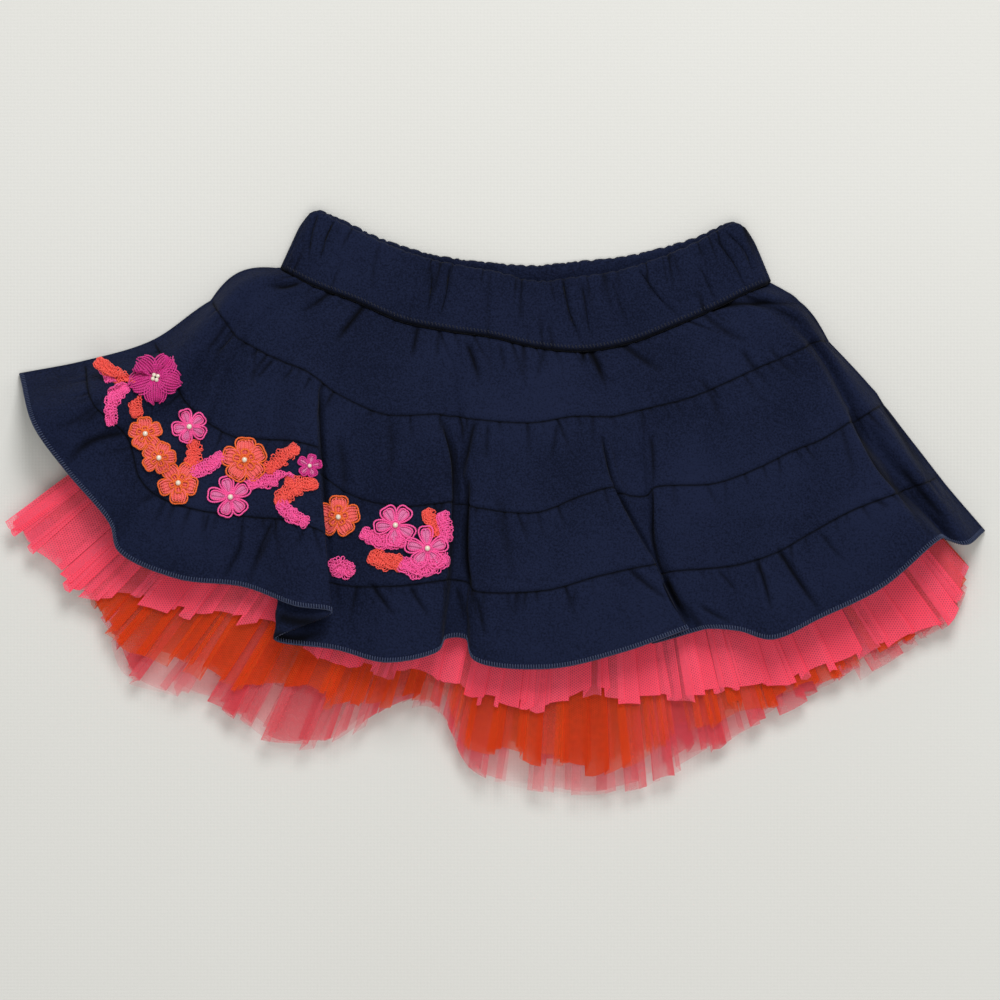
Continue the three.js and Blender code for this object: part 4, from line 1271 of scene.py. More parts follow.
@dataclass
class TulleFan:
    """The tulle under the skirt: three nets in knife pleats, each with a front and a back panel."""

    form: SkirtForm
    layers: tuple[Layer, ...] = (
        Layer("upper", 1, 8.5, 2.0, 1.0, 0.3, (3.6, 17.0), (1.6, 5.0), 3.6, (0.45, 0.65, 0.8, 0.95, 1.05), 5),
        Layer("middle", 2, 7.2, 3.3, 0.9, 0.28, (3.6, 16.0), (1.6, 5.0), 4.6, (0.45, 0.7, 0.95, 1.25, 1.4), 6),
        Layer("under", 3, 5.9, 4.6, 0.8, 0.28, (5.0, 24.0), (2.2, 7.0), 3.4, (0.4, 0.6, 0.85, 1.2, 1.7), 7),
    )
    rows: tuple[float, ...] = (0, 0.2, 0.4, 0.55, 0.66, 0.74, 0.8, 0.85, 0.89, 0.925, 0.955, 0.98, 1)
    pleat_share: float = 0.55
    end_margin: float = 1.0
    lean: float = 7.0
    slope: float = 0.2
    bulge: float = 1.2
    piece: float = 3.2
    fold_width: float = 0.6
    fold_cover: float = 0.28
    waist_width: float = 205.0
    lowest: float = 0.9
    back_fold: float = 0.25
    back_rise: tuple[float, float] = (5.0, 0.8)
    hem_wave: tuple[float, float] = (0.8, 7.3)

    def strips(self, layer: Layer, chance: np.random.Generator) -> np.ndarray:
        """Lays out one panel's knife pleats along the hem.

        Args:
            layer: The net it belongs to.
            chance: Where its unevenness comes from.

        Returns:
            One row a column of the sheet: place along the tips, side of the fold, hem reach, lean,
            place on the flat cloth, cover, and whether the column is a fold.
        """
        end = self.form.tip_run[-1]
        columns = []
        place, cut = 0.0, 0.0
        reach = chance.uniform(-layer.jitter, layer.jitter)
        lean = chance.uniform(-5, 5)
        while place < end - self.end_margin:
            width = min(chance.uniform(*layer.widths) * chance.choice([0.55, 0.9, 1.0, 1.1]), end - place)
            next_lean = chance.uniform(-self.lean, self.lean)
            cover = float(chance.choice(layer.covers))
            pieces = max(int(width / self.piece), 2)
            slope, bulge = (chance.uniform(-most, most) for most in (self.slope, self.bulge))
            rim = min(self.fold_width / width, 0.2)
            marks = [0.0, rim, *np.linspace(0, 1, pieces + 1)[1:-1], 1 - rim, 1.0]
            for share in marks:
                edge = share in (0.0, 1.0)
                columns.append(
                    (
                        place + width * share,
                        -1 + 2 * share,
                        reach + slope * width * (share - 0.5) + bulge * math.sin(math.pi * share),
                        lean + (next_lean - lean) * share,
                        cut + width * share,
                        cover + (self.fold_cover if edge else 0.0),
                        float(edge),
                    )
                )
            place += width
            cut += width
            if place >= end - self.end_margin:
                break
            overlap = min(chance.uniform(*layer.overlap), width * 0.7)
            before = columns[-1]
            reach = reach * 0.25 + chance.uniform(-1, 1) * layer.jitter
            reach = float(np.clip(reach, -layer.jitter, layer.jitter))
            between = (before[2] + reach) / 2
            columns.append((place - overlap / 2, 0.0, between, next_lean, cut + overlap / 2, cover, 0.0))
            place -= overlap
            cut += overlap
            lean = next_lean
        return np.array(columns).T

    def panel(self, layer: Layer, is_front: bool) -> tuple[Surface, float, float]:
        """Folds one panel into knife pleats along the fan.

        Args:
            layer: The net it belongs to.
            is_front: Whether it is the front panel, or the back one that lies level.

        Returns:
            The open sheet, and the cut's width at the hem and its mean length in millimetres.
        """
        chance = np.random.default_rng(layer.seed * 10 + int(is_front))
        end = self.form.tip_run[-1]
        run, lift, hem, lean, flat, cover, folded = self.strips(layer, chance)
        across, start, tip = self.form.fan_ray(run)
        rays = np.array([ray[layer.hem] for ray in TULLE_RAYS], float)
        hem_share = np.interp(across * (len(rays) - 1), np.arange(len(rays)), rays)
        length = np.linalg.norm(tip - start, axis=1)
        if layer.name == "under":
            hem = hem * (1 - 0.7 * FILM.at(tip[:, 0]) * (tip[:, 1] < -100))
        hem_share = hem_share + hem / length
        base = layer.front_mid if is_front else layer.back_mid
        follow = layer.follow if is_front else 0.0
        fold = layer.fold if is_front else self.back_fold
        if not is_front:
            hem_share = hem_share - (self.back_rise[0] - self.back_rise[1] * layer.hem) / length
        ripple = chance.uniform(0, 2 * math.pi)
        rings = []
        for row in self.rows:
            share = hem_share * row
            shifted = np.clip(run + lean * (1 - row) * 1.2, 0, end)
            point = self.form.fan_point(shifted, share, base, follow)
            even = self.form.fan_point(shifted, share, base, follow, wave_share=0.0)
            point[:, 2] = even[:, 2] + (point[:, 2] - even[:, 2]) * self.pleat_share
            point[:, 2] += fold * lift * min(row * 1.4, 1.0)
            if is_front:
                point[:, 2] += self.hem_wave[0] * row**3 * np.sin(run / self.hem_wave[1] + ripple)
            point[:, 2] = np.maximum(point[:, 2], self.lowest)
            rings.append(point)
        grid = np.stack(rings)
        down = np.array(self.rows)[:, None] * (hem_share * length)[None, :]
        cloth = np.stack([np.broadcast_to(flat, down.shape), -down], axis=-1).reshape(-1, 2)
        sheet = Surface(grid.reshape(-1, 3), grid_faces(*grid.shape[:2]), cloth)
        sheet.marks["cover"] = np.broadcast_to(cover, down.shape).ravel()
        sheet.sharp = np.broadcast_to(folded > 0.5, down.shape).ravel()
        return sheet, float(flat[-1]), float(np.mean(hem_share * length))

    def build(self, layer: Layer, net: bpy.types.Material) -> tuple[bpy.types.Object, tuple[float, float, float]]:
        """Builds one net's two panels and measures their cut in metres.

        Args:
            layer: The net's sizes.
            net: Its material.

        Returns:
            The piece, and the cut's width, length and area.
        """
        front, front_width, length = self.panel(layer, True)
        back, back_width, _ = self.panel(layer, False)
        whole = joined([(front, 0), (back, 0)])
        places = whole.points[:, :2]
        cover = whole.marks["cover"]
        if layer.name == "under":
            bright = FULL_LOBE.at(places[:, 0]) * (places[:, 1] > FILM_TOP)
            film = FILM.at(places[:, 0]) * np.clip((FILM_TOP - places[:, 1]) / 8, 0, 1)
            cover = (cover + 0.9 * bright) * (1 - 0.5 * film)
        if layer.name == "middle":
            film = FULL_LOBE.at(places[:, 0]) + LEFT_GAP.at(places[:, 0])
            cover = cover * (1 - 0.75 * np.clip(film, 0, 1))
        whole.marks["cover"] = cover
        made = whole.piece(f"tulle_{layer.name}_net", net)
        width = (front_width + back_width) * MM
        narrow = 2 * self.waist_width * MM
        return made, (width, length * MM, (width + narrow) / 2 * length * MM)


class StitchKind(Enum):
    """The rows of machine stitches on the skirt, with each one's pitch, length and thread radius in millimetres."""

    HEM_OVERLOCK = (1.25, 2.3, 0.26)
    WAIST_COVERSTITCH = (1.7, 1.5, 0.24)


class StitchRow:
    """A Geometry Nodes tree that lays short stitches across a path, and dresses a path with it."""

    SIZES = ("Pitch", "Stitch Length", "Thread Radius")

    def __init__(self) -> None:
        """Builds the tree once: resample, lay a rounded stitch on each point, realize, set the material."""
        tree = bpy.data.node_groups.new("stitches_across_a_path", "GeometryNodeTree")
        self.tree = tree
        face = tree.interface
        face.new_socket("Path", in_out="INPUT", socket_type="NodeSocketGeometry")
        sizes = [face.new_socket(name, in_out="INPUT", socket_type="NodeSocketFloat") for name in self.SIZES]
        thread = face.new_socket("Thread", in_out="INPUT", socket_type="NodeSocketMaterial")
        face.new_socket("Stitches", in_out="OUTPUT", socket_type="NodeSocketGeometry")
        self.sockets = {socket.name: socket.identifier for socket in [*sizes, thread]}
        inside = add_node(tree, "NodeGroupInput").outputs
        curve = add_node(tree, "GeometryNodeMeshToCurve", {"Mesh": inside["Path"]})
        even = add_node(tree, "GeometryNodeResampleCurve", {"Curve": curve, "Length": inside["Pitch"]}, mode="LENGTH")
        across = add_node(tree, "GeometryNodeInputNamedAttribute", {"Name": "across"}, data_type="FLOAT_VECTOR")
        turn = add_node(tree, "FunctionNodeAlignEulerToVector", {"Vector": across}, axis="Z")
        sizes = {"Radius": inside["Thread Radius"], "Depth": inside["Stitch Length"]}
        stitch = add_node(tree, "GeometryNodeMeshCylinder", {"Vertices": 5, "Fill Segments": 1, **sizes})
        where = {"Points": even, "Instance": stitch, "Rotation": turn}
        laid = add_node(tree, "GeometryNodeInstanceOnPoints", where)
        real = add_node(tree, "GeometryNodeRealizeInstances", {"Geometry": laid})
        smooth = add_node(tree, "GeometryNodeSetShadeSmooth", {"Geometry": real})
        dressed = add_node(tree, "GeometryNodeSetMaterial", {"Geometry": smooth, "Material": inside["Thread"]})
        add_node(tree, "NodeGroupOutput", {"Stitches": dressed})

    def sew(
        self,
        name: str,
        path: np.ndarray,
        across: np.ndarray,
        kind: StitchKind,
        thread: bpy.types.Material,
    ) -> bpy.types.Object:
        """Lays a row of stitches.

        Args:
            name: The piece's name.
            path: The points that the row follows, in millimetres.
            across: The direction that its stitches lie in, at each point.
            kind: The row's sizes.
            thread: The thread's material.

        Returns:
            The stitches as one plain mesh.
        """
        mesh = bpy.data.meshes.new(f"{name}_path")
        mesh.from_pydata(metres(path).tolist(), [[step, step + 1] for step in range(len(path) - 1)], [])
        store = mesh.attributes.new("across", "FLOAT_VECTOR", "POINT")
        store.data.foreach_set("vector", np.array(across, np.float32).ravel())
        guide = placed(f"{name}_path", mesh)
        row = guide.modifiers.new("stitches", "NODES")
        row.node_group = self.tree
        for size, value in zip(self.SIZES, kind.value):
            row[self.sockets[size]] = value * MM
        row[self.sockets["Thread"]] = thread
        ready = guide.evaluated_get(bpy.context.evaluated_depsgraph_get())
        sewn = bpy.data.meshes.new_from_object(ready)
        guide.modifiers.remove(row)
        bpy.data.objects.remove(guide)
        sewn.name = name
        return placed(name, sewn)


# How far lace follows the cloth up or down, at its middle and for each millimetre from it
LACE_GIVE, LACE_SLOPE = 0.6, 0.45


class ClothTop:
    """The skirt front's outer face, for setting lace down on it from straight above."""

    def __init__(self, fronts: Sequence[np.ndarray], wall: float) -> None:
        """Gathers the outer faces of every tier for looking down on."""
        points, faces = [], []
        for grid in fronts:
            outer = grid + grid_normals(grid) * wall / 2
            faces.extend(grid_faces(*grid.shape[:2], start=len(points)))
            points.extend(outer.reshape(-1, 3).tolist())
        self.tree = BVHTree.FromPolygons(points, faces)

    def height(self, place: Sequence[float]) -> float | None:
        """Finds the cloth under a place, or None past its edge."""
        hit = self.tree.ray_cast(Vector((place[0], place[1], 100.0)), Vector((0, 0, -1)))[0]
        return None if hit is None else hit.z

    def over(self, places: np.ndarray, above: float | np.ndarray, middle: np.ndarray) -> np.ndarray:
        """Sets places down on the cloth.

        Args:
            places: The XY places of one motif.
            above: How far over the cloth they lie.
            middle: The motif's middle. A place past a fold's edge, far above or below it, is kept level with it.

        Returns:
            The points, with their heights.
        """
        centre = self.height(middle)
        heights = []
        for place in places:
            found = self.height(place)
            limit = LACE_GIVE + LACE_SLOPE * math.dist(place, middle)
            heights.append(centre if found is None or abs(found - centre) > limit else found)
        return np.column_stack([places, np.array(heights) + above])


class Lace(Enum):
    """How a flower is embroidered: fanned and solid, filled petal by petal, or in open loops."""

    FANNED = "fanned"
    FILLED = "filled"
    LOOPED = "looped"


@dataclass(frozen=True)
class Flower:
    """One five-petal flower of the spray, placed as the photograph shows."""

    seen: tuple[float, float]
    radius: float
    turn: float
    kind: Lace
    cord: Dye
    fill: Dye
    raised: float = 0.0
    pearls: int = 1


@dataclass(frozen=True)
class Sprig:
    """One boucle sprig: its lines, width in millimetres, and thread colour."""

    lines: tuple[tuple[tuple[float, float], ...], ...]
    width: float
    colour: Dye
    second: Dye


# How a flower is embroidered, and the colours of its cords and its filling
OPEN_PINK = (Lace.LOOPED, Dye.LACE_PINK, Dye.LACE_ORCHID)
FILLED_ORANGE = (Lace.FILLED, Dye.LACE_ORANGE, Dye.LACE_ROSE)
# Each flower: middle in pixels, radius, turn, kind, cord, filling, lift, pearls
FLOWERS = tuple(Flower(*row) for row in (
    ((157, 378), 12.8, 130, Lace.FANNED, Dye.LACE_MAGENTA, Dye.LACE_MAGENTA, 0.5, 4),
    ((191, 427), 8.9, 40, *OPEN_PINK, 0.3),
    ((147, 434), 8.9, 25, *FILLED_ORANGE, 0.5),
    ((161, 458), 8.3, 0, *FILLED_ORANGE, 0.9),
    ((180, 483), 10.2, 55, *FILLED_ORANGE, 0.5),
    ((246, 460), 12.0, 18, *FILLED_ORANGE, 0.6),
    ((232, 497), 10.9, 30, *OPEN_PINK, 0.3),
    ((311, 466), 6.0, 5, Lace.LOOPED, Dye.LACE_MAGENTA, Dye.LACE_ORCHID, 0.2),
    ((339, 517), 10.4, 12, *FILLED_ORANGE, 0.4),
    ((396, 525), 10.8, 48, *OPEN_PINK, 0.5),
    ((428, 548), 11.0, 22, *OPEN_PINK, 0.7),
))
# Each sprig: its lines in pixels, width in millimetres, and the dye of the first line and of the second
SPRIGS = tuple(Sprig(*row) for row in (
    (
        (((99, 362), (114, 373), (134, 388), (138, 416)), ((128, 388), (115, 398), (113, 424))),
        6.4, Dye.LACE_CORAL, Dye.LACE_PINK,
    ),
    ((((104, 366), (112, 380), (120, 390)),), 4.6, Dye.LACE_PINK, Dye.LACE_PINK),
    (
        (((194, 442), (196, 455), (192, 466)), ((194, 473), (210, 465), (224, 456))),
        6.6, Dye.LACE_CORAL, Dye.LACE_PINK,
    ),
    ((((268, 470), (284, 458), (298, 448)),), 6.8, Dye.LACE_CORAL, Dye.LACE_CORAL),
    ((((250, 484), (272, 479), (294, 480)),), 7.0, Dye.LACE_PINK, Dye.LACE_PINK),
    ((((288, 482), (303, 483), (317, 485)),), 5.6, Dye.LACE_CORAL, Dye.LACE_CORAL),
    (
        (((302, 490), (287, 494), (281, 504)), ((281, 503), (293, 515), (308, 522))),
        6.6, Dye.LACE_CORAL, Dye.LACE_PINK,
    ),
    ((((333, 570), (342, 567), (353, 571)),), 8.6, Dye.LACE_PINK, Dye.LACE_PINK),
    ((((363, 533), (381, 541), (405, 541)),), 7.0, Dye.LACE_PINK, Dye.LACE_PINK),
    (
        (((371, 556), (386, 561), (402, 562)), ((402, 563), (422, 569), (447, 557))),
        8.2, Dye.LACE_CORAL, Dye.LACE_PINK,
    ),
    (
        (((427, 511), (432, 522), (437, 534)), ((442, 514), (446, 526), (446, 540))),
        6.2, Dye.LACE_CORAL, Dye.LACE_PINK,
    ),
))


@dataclass
class LaceSpray:
    """The flower spray: satin-cord petals, boucle sprigs and pearls, set down on the cloth.

    The drawing is its own, of plain five-petal flowers: the count, sizes, colours and line follow the photograph.
    """

    cloth: ClothTop
    petals: int = 5
    cord: float = 0.46
    fill_thread: float = 0.4
    pad: float = 0.7
    pearl: float = 1.3
    dimple: float = 0.86
    curl_mm: float = 0.95
    curl_size: tuple[float, float] = (0.7, 1.45)
    curl_sway: float = 0.35
    fan_rays: int = 10
    filled_rays: tuple[float, ...] = (-0.66, -0.34, 0.0, 0.34, 0.66)
    wobble: float = 0.12
    heart_rings: tuple[tuple[float, float], ...] = ((0.2, 1.2), (0.12, 1.5))
    small_flower: float = 7.0
    bead_ring: float = 1.35
    lobe_mm: float = 3.4
    sprig_seed: int = 200
    flower_seed: int = 100
    # Each thread of a sprig: share of its half width, radius and height
    sprig_threads: tuple[tuple[float, float, float], ...] = (
        (-0.95, 0.33, 0.5),
        (0.95, 0.33, 0.5),
        (-0.1, 0.38, 0.9),
        (-0.55, 0.34, 1.1),
        (0.5, 0.34, 1.25),
    )
    # The mound under them: share of the half width, and its height above and below
    ribbon_rows: tuple[tuple[float, float, float], ...] = (
        (-1.0, 0.1, 0.08),
        (-0.6, 0.3, 0.28),
        (0.0, 0.4, 0.38),
        (0.6, 0.3, 0.28),
        (1.0, 0.1, 0.08),
    )
    middle: np.ndarray = field(default_factory=lambda: np.zeros(2))

    def lay(self, places: np.ndarray, above: float | np.ndarray) -> np.ndarray:
        """Sets the current motif's places down on the cloth."""
        return self.cloth.over(places, above, self.middle)

    def petal_outline(self, reach: float, half_width: float, steps: int = 20) -> np.ndarray:
        """Gives an egg-shaped loop along +X, narrow at the flower's heart."""
        turn = np.linspace(-math.pi, math.pi, steps, endpoint=False)
        out = reach * (0.57 + 0.43 * np.cos(turn)) * (1 - 0.07 * np.exp(-((turn / 0.4) ** 2)))
        side = half_width * np.sin(turn) * (0.8 + 0.3 * np.cos(turn))
        return np.column_stack([out, side])

    def pad_surface(self, outline: np.ndarray, height: float, raised: float) -> Surface:
        """Makes a low closed mound inside an outline.

        Args:
            outline: The loop of XY places.
            height: How high its middle is.
            raised: How far its foot is over the cloth.

        Returns:
            The mound.
        """
        centre = outline.mean(axis=0)
        rings = [outline, centre + (outline - centre) * 0.82, centre + (outline - centre) * 0.4]
        lifts = [0.1, height * 0.8, height]
        steps = len(outline)
        points = [self.lay(ring, raised + lift) for ring, lift in zip(rings, lifts)]
        points.append(self.lay(centre[None], raised + height * 1.05))
        points.append(self.lay(outline, raised + 0.02))
        faces = []
        for ring in range(2):
            for step in range(steps):
                beside = (step + 1) % steps
                low, high = ring * steps, (ring + 1) * steps
                faces.append([low + step, low + beside, high + beside, high + step])
        top, low = 3 * steps, 3 * steps + 1
        faces.extend([2 * steps + step, 2 * steps + (step + 1) % steps, top] for step in range(steps))
        faces.extend([low + step, low + (step + 1) % steps, (step + 1) % steps, step] for step in range(steps))
        faces.append([low + step for step in range(steps)][::-1])
        every = np.concatenate(points)
        return Surface(every, faces, every[:, :2])

    def pearl_surface(self, place: np.ndarray, radius: float, raised: float) -> Surface:
        """Makes a bead with a drilled dimple at each end of its hole.

        Args:
            place: Its middle, as XY.
            radius: Its radius.
            raised: How far its foot is over the cloth.

        Returns:
            The bead.
        """
        seat = self.lay(place[None], raised + radius * 0.9)[0]
        around, high = 14, 9
        points = [seat - np.array([radius * self.dimple, 0, 0])]
        for ring in range(1, high):
            angle = math.pi * ring / high
            for step in range(around):
                turn = 2 * math.pi * step / around
                out = math.sin(angle)
                ray = np.array([-math.cos(angle), out * math.cos(turn), out * math.sin(turn)])
                points.append(seat + radius * ray)
        points.append(seat + np.array([radius * self.dimple, 0, 0]))
        faces = [[0, 1 + (step + 1) % around, 1 + step] for step in range(around)]
        for ring in range(high - 2):
            for step in range(around):
                here, beside = 1 + ring * around + step, 1 + ring * around + (step + 1) % around
                faces.append([here, beside, beside + around, here + around])
        last = 1 + (high - 2) * around
        faces.extend([last + step, last + (step + 1) % around, len(points) - 1] for step in range(around))
        return Surface(np.array(points), faces)

    def ray(self, reach: float, half_width: float, aside: float, last: float) -> np.ndarray:
        """Gives one thread from a petal's foot to near its rim, bowed with the petal's outline."""
        share = np.linspace(0.14, last, 7)
        half = half_width * np.sqrt(np.clip(1 - ((share - 0.57) / 0.45) ** 2, 0.03, 1))
        return np.column_stack([share * reach, aside * half])

    def petal(
        self, row: Flower, reach: float, broad: float, raised: float, chance: np.random.Generator
    ) -> list[tuple]:
        """Embroiders one petal along +X: its pad, its rays and its corded rim.

        Args:
            row: The flower.
            reach: The petal's length.
            broad: Half its width.
            raised: How far its foot is over the cloth.
            chance: Where its unevenness comes from.

        Returns:
            Each thread's line, closing, height, radius and slot, with None as the radius for the pad.
        """
        rim = self.petal_outline(reach, broad)
        lift = raised + 0.55 + 0.35 * rim[:, 0] / reach
        spread = 0.97 if row.kind is Lace.FANNED else 0.88
        made = [(self.petal_outline(reach * spread, broad * (spread - 0.03), 16), True, raised, None, 1)]
        if row.kind is Lace.FANNED:
            for aside in np.linspace(-0.95, 0.95, self.fan_rays):
                line = self.ray(reach, broad, aside, chance.uniform(0.86, 1.12) - 0.12 * abs(aside))
                made.append((line, False, raised + chance.uniform(0.85, 1.1), self.fill_thread, 1))
            return made
        made.append((rim, True, lift, self.cord, 0))
        if row.kind is Lace.LOOPED:
            inner = self.petal_outline(reach * 0.8, broad * 0.62) + np.array([reach * 0.07, 0.0])
            made.append((inner, True, raised + 0.9, self.cord * 0.85, 0))
            made.append((self.ray(reach, broad * 0.3, 0.0, 0.8), False, raised + 0.95, self.fill_thread, 1))
            return made
        for aside in self.filled_rays:
            line = self.ray(reach, broad, aside, chance.uniform(0.8, 0.92))
            made.append((line, False, raised + chance.uniform(0.9, 1.05), self.fill_thread, 1))
        inner = self.petal_outline(reach * 0.86, broad * 0.74) + np.array([reach * 0.04, 0.0])
        made.append((inner, True, raised + 0.85, self.cord * 0.7, 0))
        heart = self.petal_outline(reach * chance.uniform(0.42, 0.56), broad * 0.36, 12)
        made.append((heart, True, raised + 1.35, self.cord * 1.1, 0))
        return made

    def flower(self, row: Flower, seed: int) -> list[tuple[Surface, int]]:
        """Embroiders one flower: slot 0 its cords, 1 its filling, 2 its pearls.

        Args:
            row: The flower.
            seed: The seed of its unevenness.

        Returns:
            Each part, with its slot.
        """
        chance = np.random.default_rng(seed)
        centre = np.array(seen_at(*row.seen))
        self.middle = centre
        parts: list[tuple[Surface, int]] = []
        for petal in range(self.petals):
            angle = math.radians(row.turn) + 2 * math.pi * petal / self.petals
            angle += chance.uniform(-self.wobble, self.wobble)
            reach = row.radius * chance.uniform(0.92, 1.05)
            broad = row.radius * chance.uniform(0.42, 0.5)
            if row.kind is Lace.LOOPED:
                broad *= 0.86
            spin = np.array([[math.cos(angle), math.sin(angle)], [-math.sin(angle), math.cos(angle)]])
            raised = row.raised + 0.12 * (petal % 2)
            for line, closed, lift, radius, slot in self.petal(row, reach, broad, raised, chance):
                path = line @ spin + centre
                if radius is None:
                    parts.append((self.pad_surface(path, self.pad, lift), slot))
                else:
                    parts.append((tube(self.lay(path, lift), radius, 5, closed=closed), slot))
        heart = np.linspace(0, 2 * math.pi, 14, endpoint=False)
        for size, lift in self.heart_rings:
            ring = centre + row.radius * size * np.column_stack([np.cos(heart), np.sin(heart)])
            parts.append((tube(self.lay(ring, row.raised + lift), self.cord, 5, closed=True), 0))
        radius = self.pearl if row.radius > self.small_flower else self.pearl * 0.75
        if row.pearls == 1:
            parts.append((self.pearl_surface(centre, radius, row.raised + 1.1), 2))
        for bead in range(row.pearls if row.pearls > 1 else 0):
            turn = 2 * math.pi * bead / row.pearls + 0.5
            place = centre + self.bead_ring * np.array([math.cos(turn), math.sin(turn)])
            parts.append((self.pearl_surface(place, radius * 0.78, row.raised + 1.1 + 0.2 * (bead % 2)), 2))
        return parts

    def curls(
        self,
        line: np.ndarray,
        beside: np.ndarray,
        half: np.ndarray,
        aside: float,
        chance: np.random.Generator,
    ) -> np.ndarray:
        """Runs a boucle thread along a sprig in small uneven curls.

        Args:
            line: The sprig's spine.
            beside: The direction across it at each place.
            half: Half its width at each place.
            aside: Which share of that half the curls follow.
            chance: Where their unevenness comes from.

        Returns:
            The thread's XY path.
        """
        count = max(int(run_length(line)[-1] / self.curl_mm), 4)
        share = np.linspace(0, 1, count * 7)
        knots = np.linspace(0, 1, count)
        size = np.interp(share, knots, chance.uniform(*self.curl_size, count))
        sway = np.interp(share, knots, chance.uniform(-self.curl_sway, self.curl_sway, count))
        along = np.linspace(0, 1, len(line))
        spot = np.column_stack([np.interp(share, along, line[:, axis]) for axis in (0, 1)])
        across = np.column_stack([np.interp(share, along, beside[:, axis]) for axis in (0, 1)])
        ahead = np.column_stack([across[:, 1], -across[:, 0]])
        turn = share * count * 2 * math.pi
        out = (aside + sway) * np.interp(share, along, half) + size * np.sin(turn)
        return spot + across * out[:, None] + ahead * (size * np.cos(turn))[:, None]

    def sprig(self, row: Sprig, seed: int) -> list[tuple[Surface, int]]:
        """Embroiders one sprig: slot 0 its first line's thread, 1 its second's.

        Args:
            row: The sprig.
            seed: The seed of its unevenness.

        Returns:
            Each part, with its slot.
        """
        chance = np.random.default_rng(seed)
        parts: list[tuple[Surface, int]] = []
        for number, seen in enumerate(row.lines):
            dense = even_spline([seen_at(*point) for point in seen], np.linspace(0, 1, 60))
            self.middle = dense[30]
            raised = 0.25 * number
            ahead = unit(np.gradient(dense, axis=0))
            beside = np.column_stack([-ahead[:, 1], ahead[:, 0]])
            share = np.linspace(0, 1, len(dense))
            lobes = max(round(run_length(dense)[-1] / self.lobe_mm), 2)
            taper = np.sqrt(np.sin(math.pi * (0.12 + 0.76 * share)))
            half = (row.width / 2 - 0.5) * taper * (0.76 + 0.24 * np.abs(np.sin(share * lobes * math.pi)))
            parts.append((self.ribbon(dense[::4], beside[::4], half[::4], raised), number))
            for aside, radius, lift in self.sprig_threads:
                path = self.curls(dense, beside, half, aside, chance)
                bounce = lift + raised + 0.45 * np.sin(np.arange(len(path)) * 1.7)
                parts.append((tube(self.lay(path, bounce), radius, 5), number))
        return parts

    def ribbon(self, line: np.ndarray, beside: np.ndarray, half: np.ndarray, raised: float) -> Surface:
        """Makes the low closed mound under a sprig's threads.

        Args:
            line: The sprig's spine.
            beside: The direction across it.
            half: Half its width.
            raised: How far it is over the cloth.

        Returns:
            The mound.
        """
        rows = []
        for side, lift, _ in self.ribbon_rows:
            rows.append(self.lay(line + beside * (half * side * 0.9)[:, None], raised + lift))
        grid = np.stack(rows)[::-1]
        low = grid.copy()
        low[..., 2] -= np.array([below for _, _, below in self.ribbon_rows])[:, None]
        high, wide = grid.shape[:2]
        count = high * wide
        faces = grid_faces(high, wide) + grid_faces(high, wide, count, upward=False)
        rim = rim_of(high, wide)
        for step, point in enumerate(rim):
            after = rim[(step + 1) % len(rim)]
            faces.append([int(point), int(point) + count, int(after) + count, int(after)])
        every = np.concatenate([grid.reshape(-1, 3), low.reshape(-1, 3)])
        return Surface(every, faces, every[:, :2])

    def build(self) -> list[tuple[bpy.types.Object, str, str]]:
        """Embroiders the whole spray.

        Returns:
            Each piece, its material slot and the node that it replaces.
        """
        threads = {
            dye: ThreadFinish(f"{dye.name.lower()}_rayon_thread", dye).material()
            for dye in Dye
            if dye.name.startswith("LACE")
        }
        pearl = PearlFinish().material()
        made = []
        for number, row in enumerate(FLOWERS, 1):
            whole = joined(self.flower(row, self.flower_seed + number))
            piece = whole.piece(f"flower_{number}_lace", threads[row.cord], threads[row.fill], pearl)
            made.append((piece, row.cord.name.lower(), f"flower_{number}"))
        for number, row in enumerate(SPRIGS, 1):
            whole = joined(self.sprig(row, self.sprig_seed + number))
            piece = whole.piece(f"sprig_{number}_lace", threads[row.colour], threads[row.second])
            made.append((piece, row.colour.name.lower(), f"sprig_{number}"))
        return made


@dataclass(frozen=True)
class Lamp:
    """A soft square light: its place and size in metres, and its power in watts."""

    name: str
    place: tuple[float, float, float]
    size: float
    power: float
    colour: str

    def hang(self) -> None:
        """Hangs the light so that it looks at the skirt."""
        lamp = bpy.data.lights.new(self.name, "AREA")
        lamp.size, lamp.energy, lamp.color = self.size, self.power, linear(self.colour)[:3]
        hung = placed(self.name, lamp)
        hung.location = self.place
        hung.rotation_euler = (-Vector(self.place)).to_track_quat("-Z", "Y").to_euler()


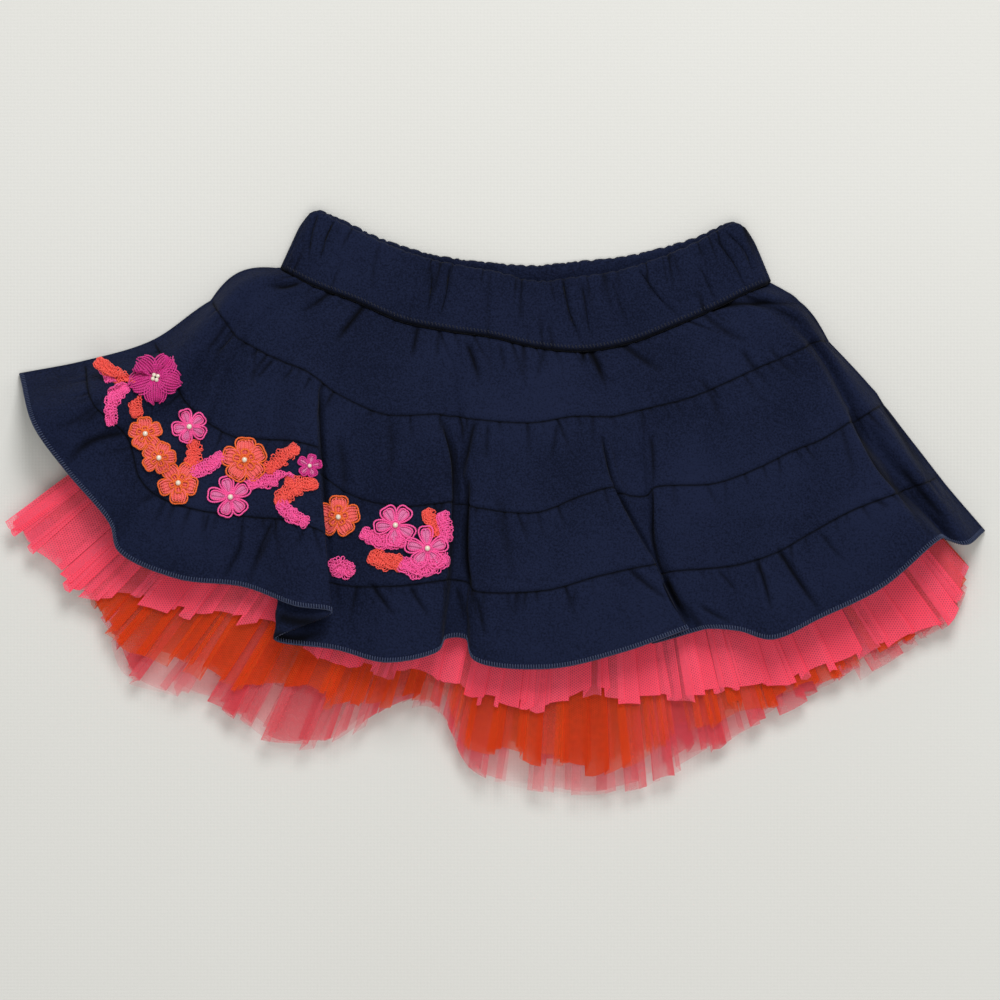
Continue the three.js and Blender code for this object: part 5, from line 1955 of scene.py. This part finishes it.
@dataclass
class Studio:
    """The floor, the lights and the camera straight above, as the photograph was taken."""

    centre: tuple[float, float] = (0.0012, 0.0015)
    distance: float = 5.0
    field_of_view: float = 0.48
    sensor_mm: float = 36.0
    clip_end: float = 50.0
    board_half: float = 3.0
    board_z: float = -0.0002
    room_colour: str = "#fdfefe"
    room_strength: float = 0.5
    clear_layers: int = 40
    lamps: tuple[Lamp, ...] = (
        Lamp("window", (0.3, 1.6, 1.8), 1.0, 37.0, "#fdfdff"),
        Lamp("room", (0.3, -0.9, 2.8), 2.0, 18.0, "#fffcf8"),
    )

    def floor(self, ground: bpy.types.Material) -> None:
        """Lays the board under the skirt."""
        mesh = bpy.data.meshes.new("floor")
        corners = [(x * self.board_half, y * self.board_half, 0) for x, y in ((-1, -1), (1, -1), (1, 1), (-1, 1))]
        mesh.from_pydata(corners, [], [(0, 1, 2, 3)])
        mesh.materials.append(ground)
        board = placed("floor", mesh)
        board.location.z = self.board_z

    def camera(self) -> None:
        """Sets the camera straight above the skirt, with a long lens."""
        lens = bpy.data.cameras.new("camera")
        lens.sensor_width = self.sensor_mm
        lens.lens = self.sensor_mm * self.distance / self.field_of_view
        lens.clip_end = self.clip_end
        eye = placed("camera", lens)
        eye.location = (*self.centre, self.distance)
        bpy.context.scene.camera = eye

    def build(self) -> None:
        """Sets up the whole stage."""
        scene = bpy.context.scene
        scene.view_settings.view_transform = "Standard"
        scene.view_settings.look = "None"
        scene.cycles.transparent_max_bounces = self.clear_layers
        world = bpy.data.worlds.new("soft_room")
        world.use_nodes = True
        room = world.node_tree.nodes["Background"].inputs
        room["Color"].default_value = linear(self.room_colour)
        room["Strength"].default_value = self.room_strength
        scene.world = world
        self.floor(FloorFinish().material())
        for lamp in self.lamps:
            lamp.hang()
        self.camera()


def dress(made: bpy.types.Object, slot: str, *nodes: str) -> None:
    """Rides a piece on the skirt and stands it for its CAD nodes.

    Args:
        made: The piece.
        slot: The name of a material slot; not used.
        nodes: The CAD nodes that it stands for.
    """
    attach(made, "root")
    if nodes:
        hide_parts(*nodes)
    LOG.info("%s: %d faces, replaces %s", made.name, len(made.data.polygons), ", ".join(nodes) or "nothing")


def sew_trims(band: Waistband, hem: np.ndarray) -> list[bpy.types.Object]:
    """Sews the stitches of hem and waist.

    Args:
        band: The waistband, for its seam.
        hem: The last tier's front, as its grid of middle points.

    Returns:
        The hem's overlock and its edge thread.
    """
    thread = ThreadFinish("navy_overlock_thread", Dye.NAVY_THREAD, 0.8, 0.55).material()
    sunk_thread = ThreadFinish("navy_seam_thread", Dye.NAVY_SUNK, 0.8, 0.95).material()
    stitches = StitchRow()
    normal = grid_normals(hem)[-1]
    down = unit(hem[-1] - hem[-2])
    hem_path = hem[-1] - down * 0.8 + normal * 0.5
    overlock = stitches.sew("hem_overlock", hem_path, down, StitchKind.HEM_OVERLOCK, thread)
    edge = tube(hem[-1] + normal * 0.1, 0.34, 6).piece("hem_thread", thread)
    waist_path = band.seam_path(above=1.6)
    slant = np.tile(np.array([-0.35, 0.93, 0.0]), (len(waist_path), 1))
    coverstitch = stitches.sew("waist_coverstitch", waist_path, slant, StitchKind.WAIST_COVERSTITCH, sunk_thread)
    for trim in (overlock, edge, coverstitch):
        dress(trim, "navy_crepe")
    return [overlock, edge]


def main() -> None:
    """Builds the skirt in a maker's order: band, tiers, hem stitches, tulle, lace, then the stage."""
    logging.basicConfig(level=logging.INFO, format="%(name)s: %(message)s")
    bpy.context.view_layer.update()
    form = SkirtForm()

    band = Waistband(form)
    casing = band.build(CrepeFinish("navy_moss_crepe_band", wrinkle_mm=6.0).material())
    dress(casing, "navy_crepe", "waistband_front", "waistband_back")

    crepe = CrepeFinish().material()
    tiers = Tiers(form)
    made_tiers = [tiers.build(tier, crepe) for tier in range(TIERS)]
    trims = sew_trims(band, tiers.fronts[-1])
    for tier, (made, (width, length, area)) in enumerate(made_tiers, 1):
        dress(made, "navy_crepe", f"tier_{tier}_front", f"tier_{tier}_back")

    fan = TulleFan(form)
    nets = {
        "upper": (NetFinish("coral_pink_nylon_net", Dye.CORAL_PINK, 1.08, 1.1, 0.44, 0.14), "tulle_coral_pink"),
        "middle": (NetFinish("orange_nylon_net", Dye.ORANGE, 0.62, openness=0.25), "tulle_orange"),
        "under": (NetFinish("pale_pink_nylon_net", Dye.PALE_PINK, 0.36, openness=0.2), "tulle_pale_pink"),
    }
    for layer in fan.layers:
        finish, slot = nets[layer.name]
        made, (width, length, area) = fan.build(layer, finish.material())
        dress(made, slot, f"tulle_{layer.name}_front", f"tulle_{layer.name}_back")

    for made, slot, node in LaceSpray(ClothTop(tiers.fronts, tiers.wall)).build():
        dress(made, slot, node)

    Studio().build()
    shown = [piece for piece in bpy.data.objects if piece.type == "MESH" and not piece.hide_render]
    LOG.info("%d faces in all", sum(len(piece.data.polygons) for piece in shown))


if __name__ == "__main__":
    main()
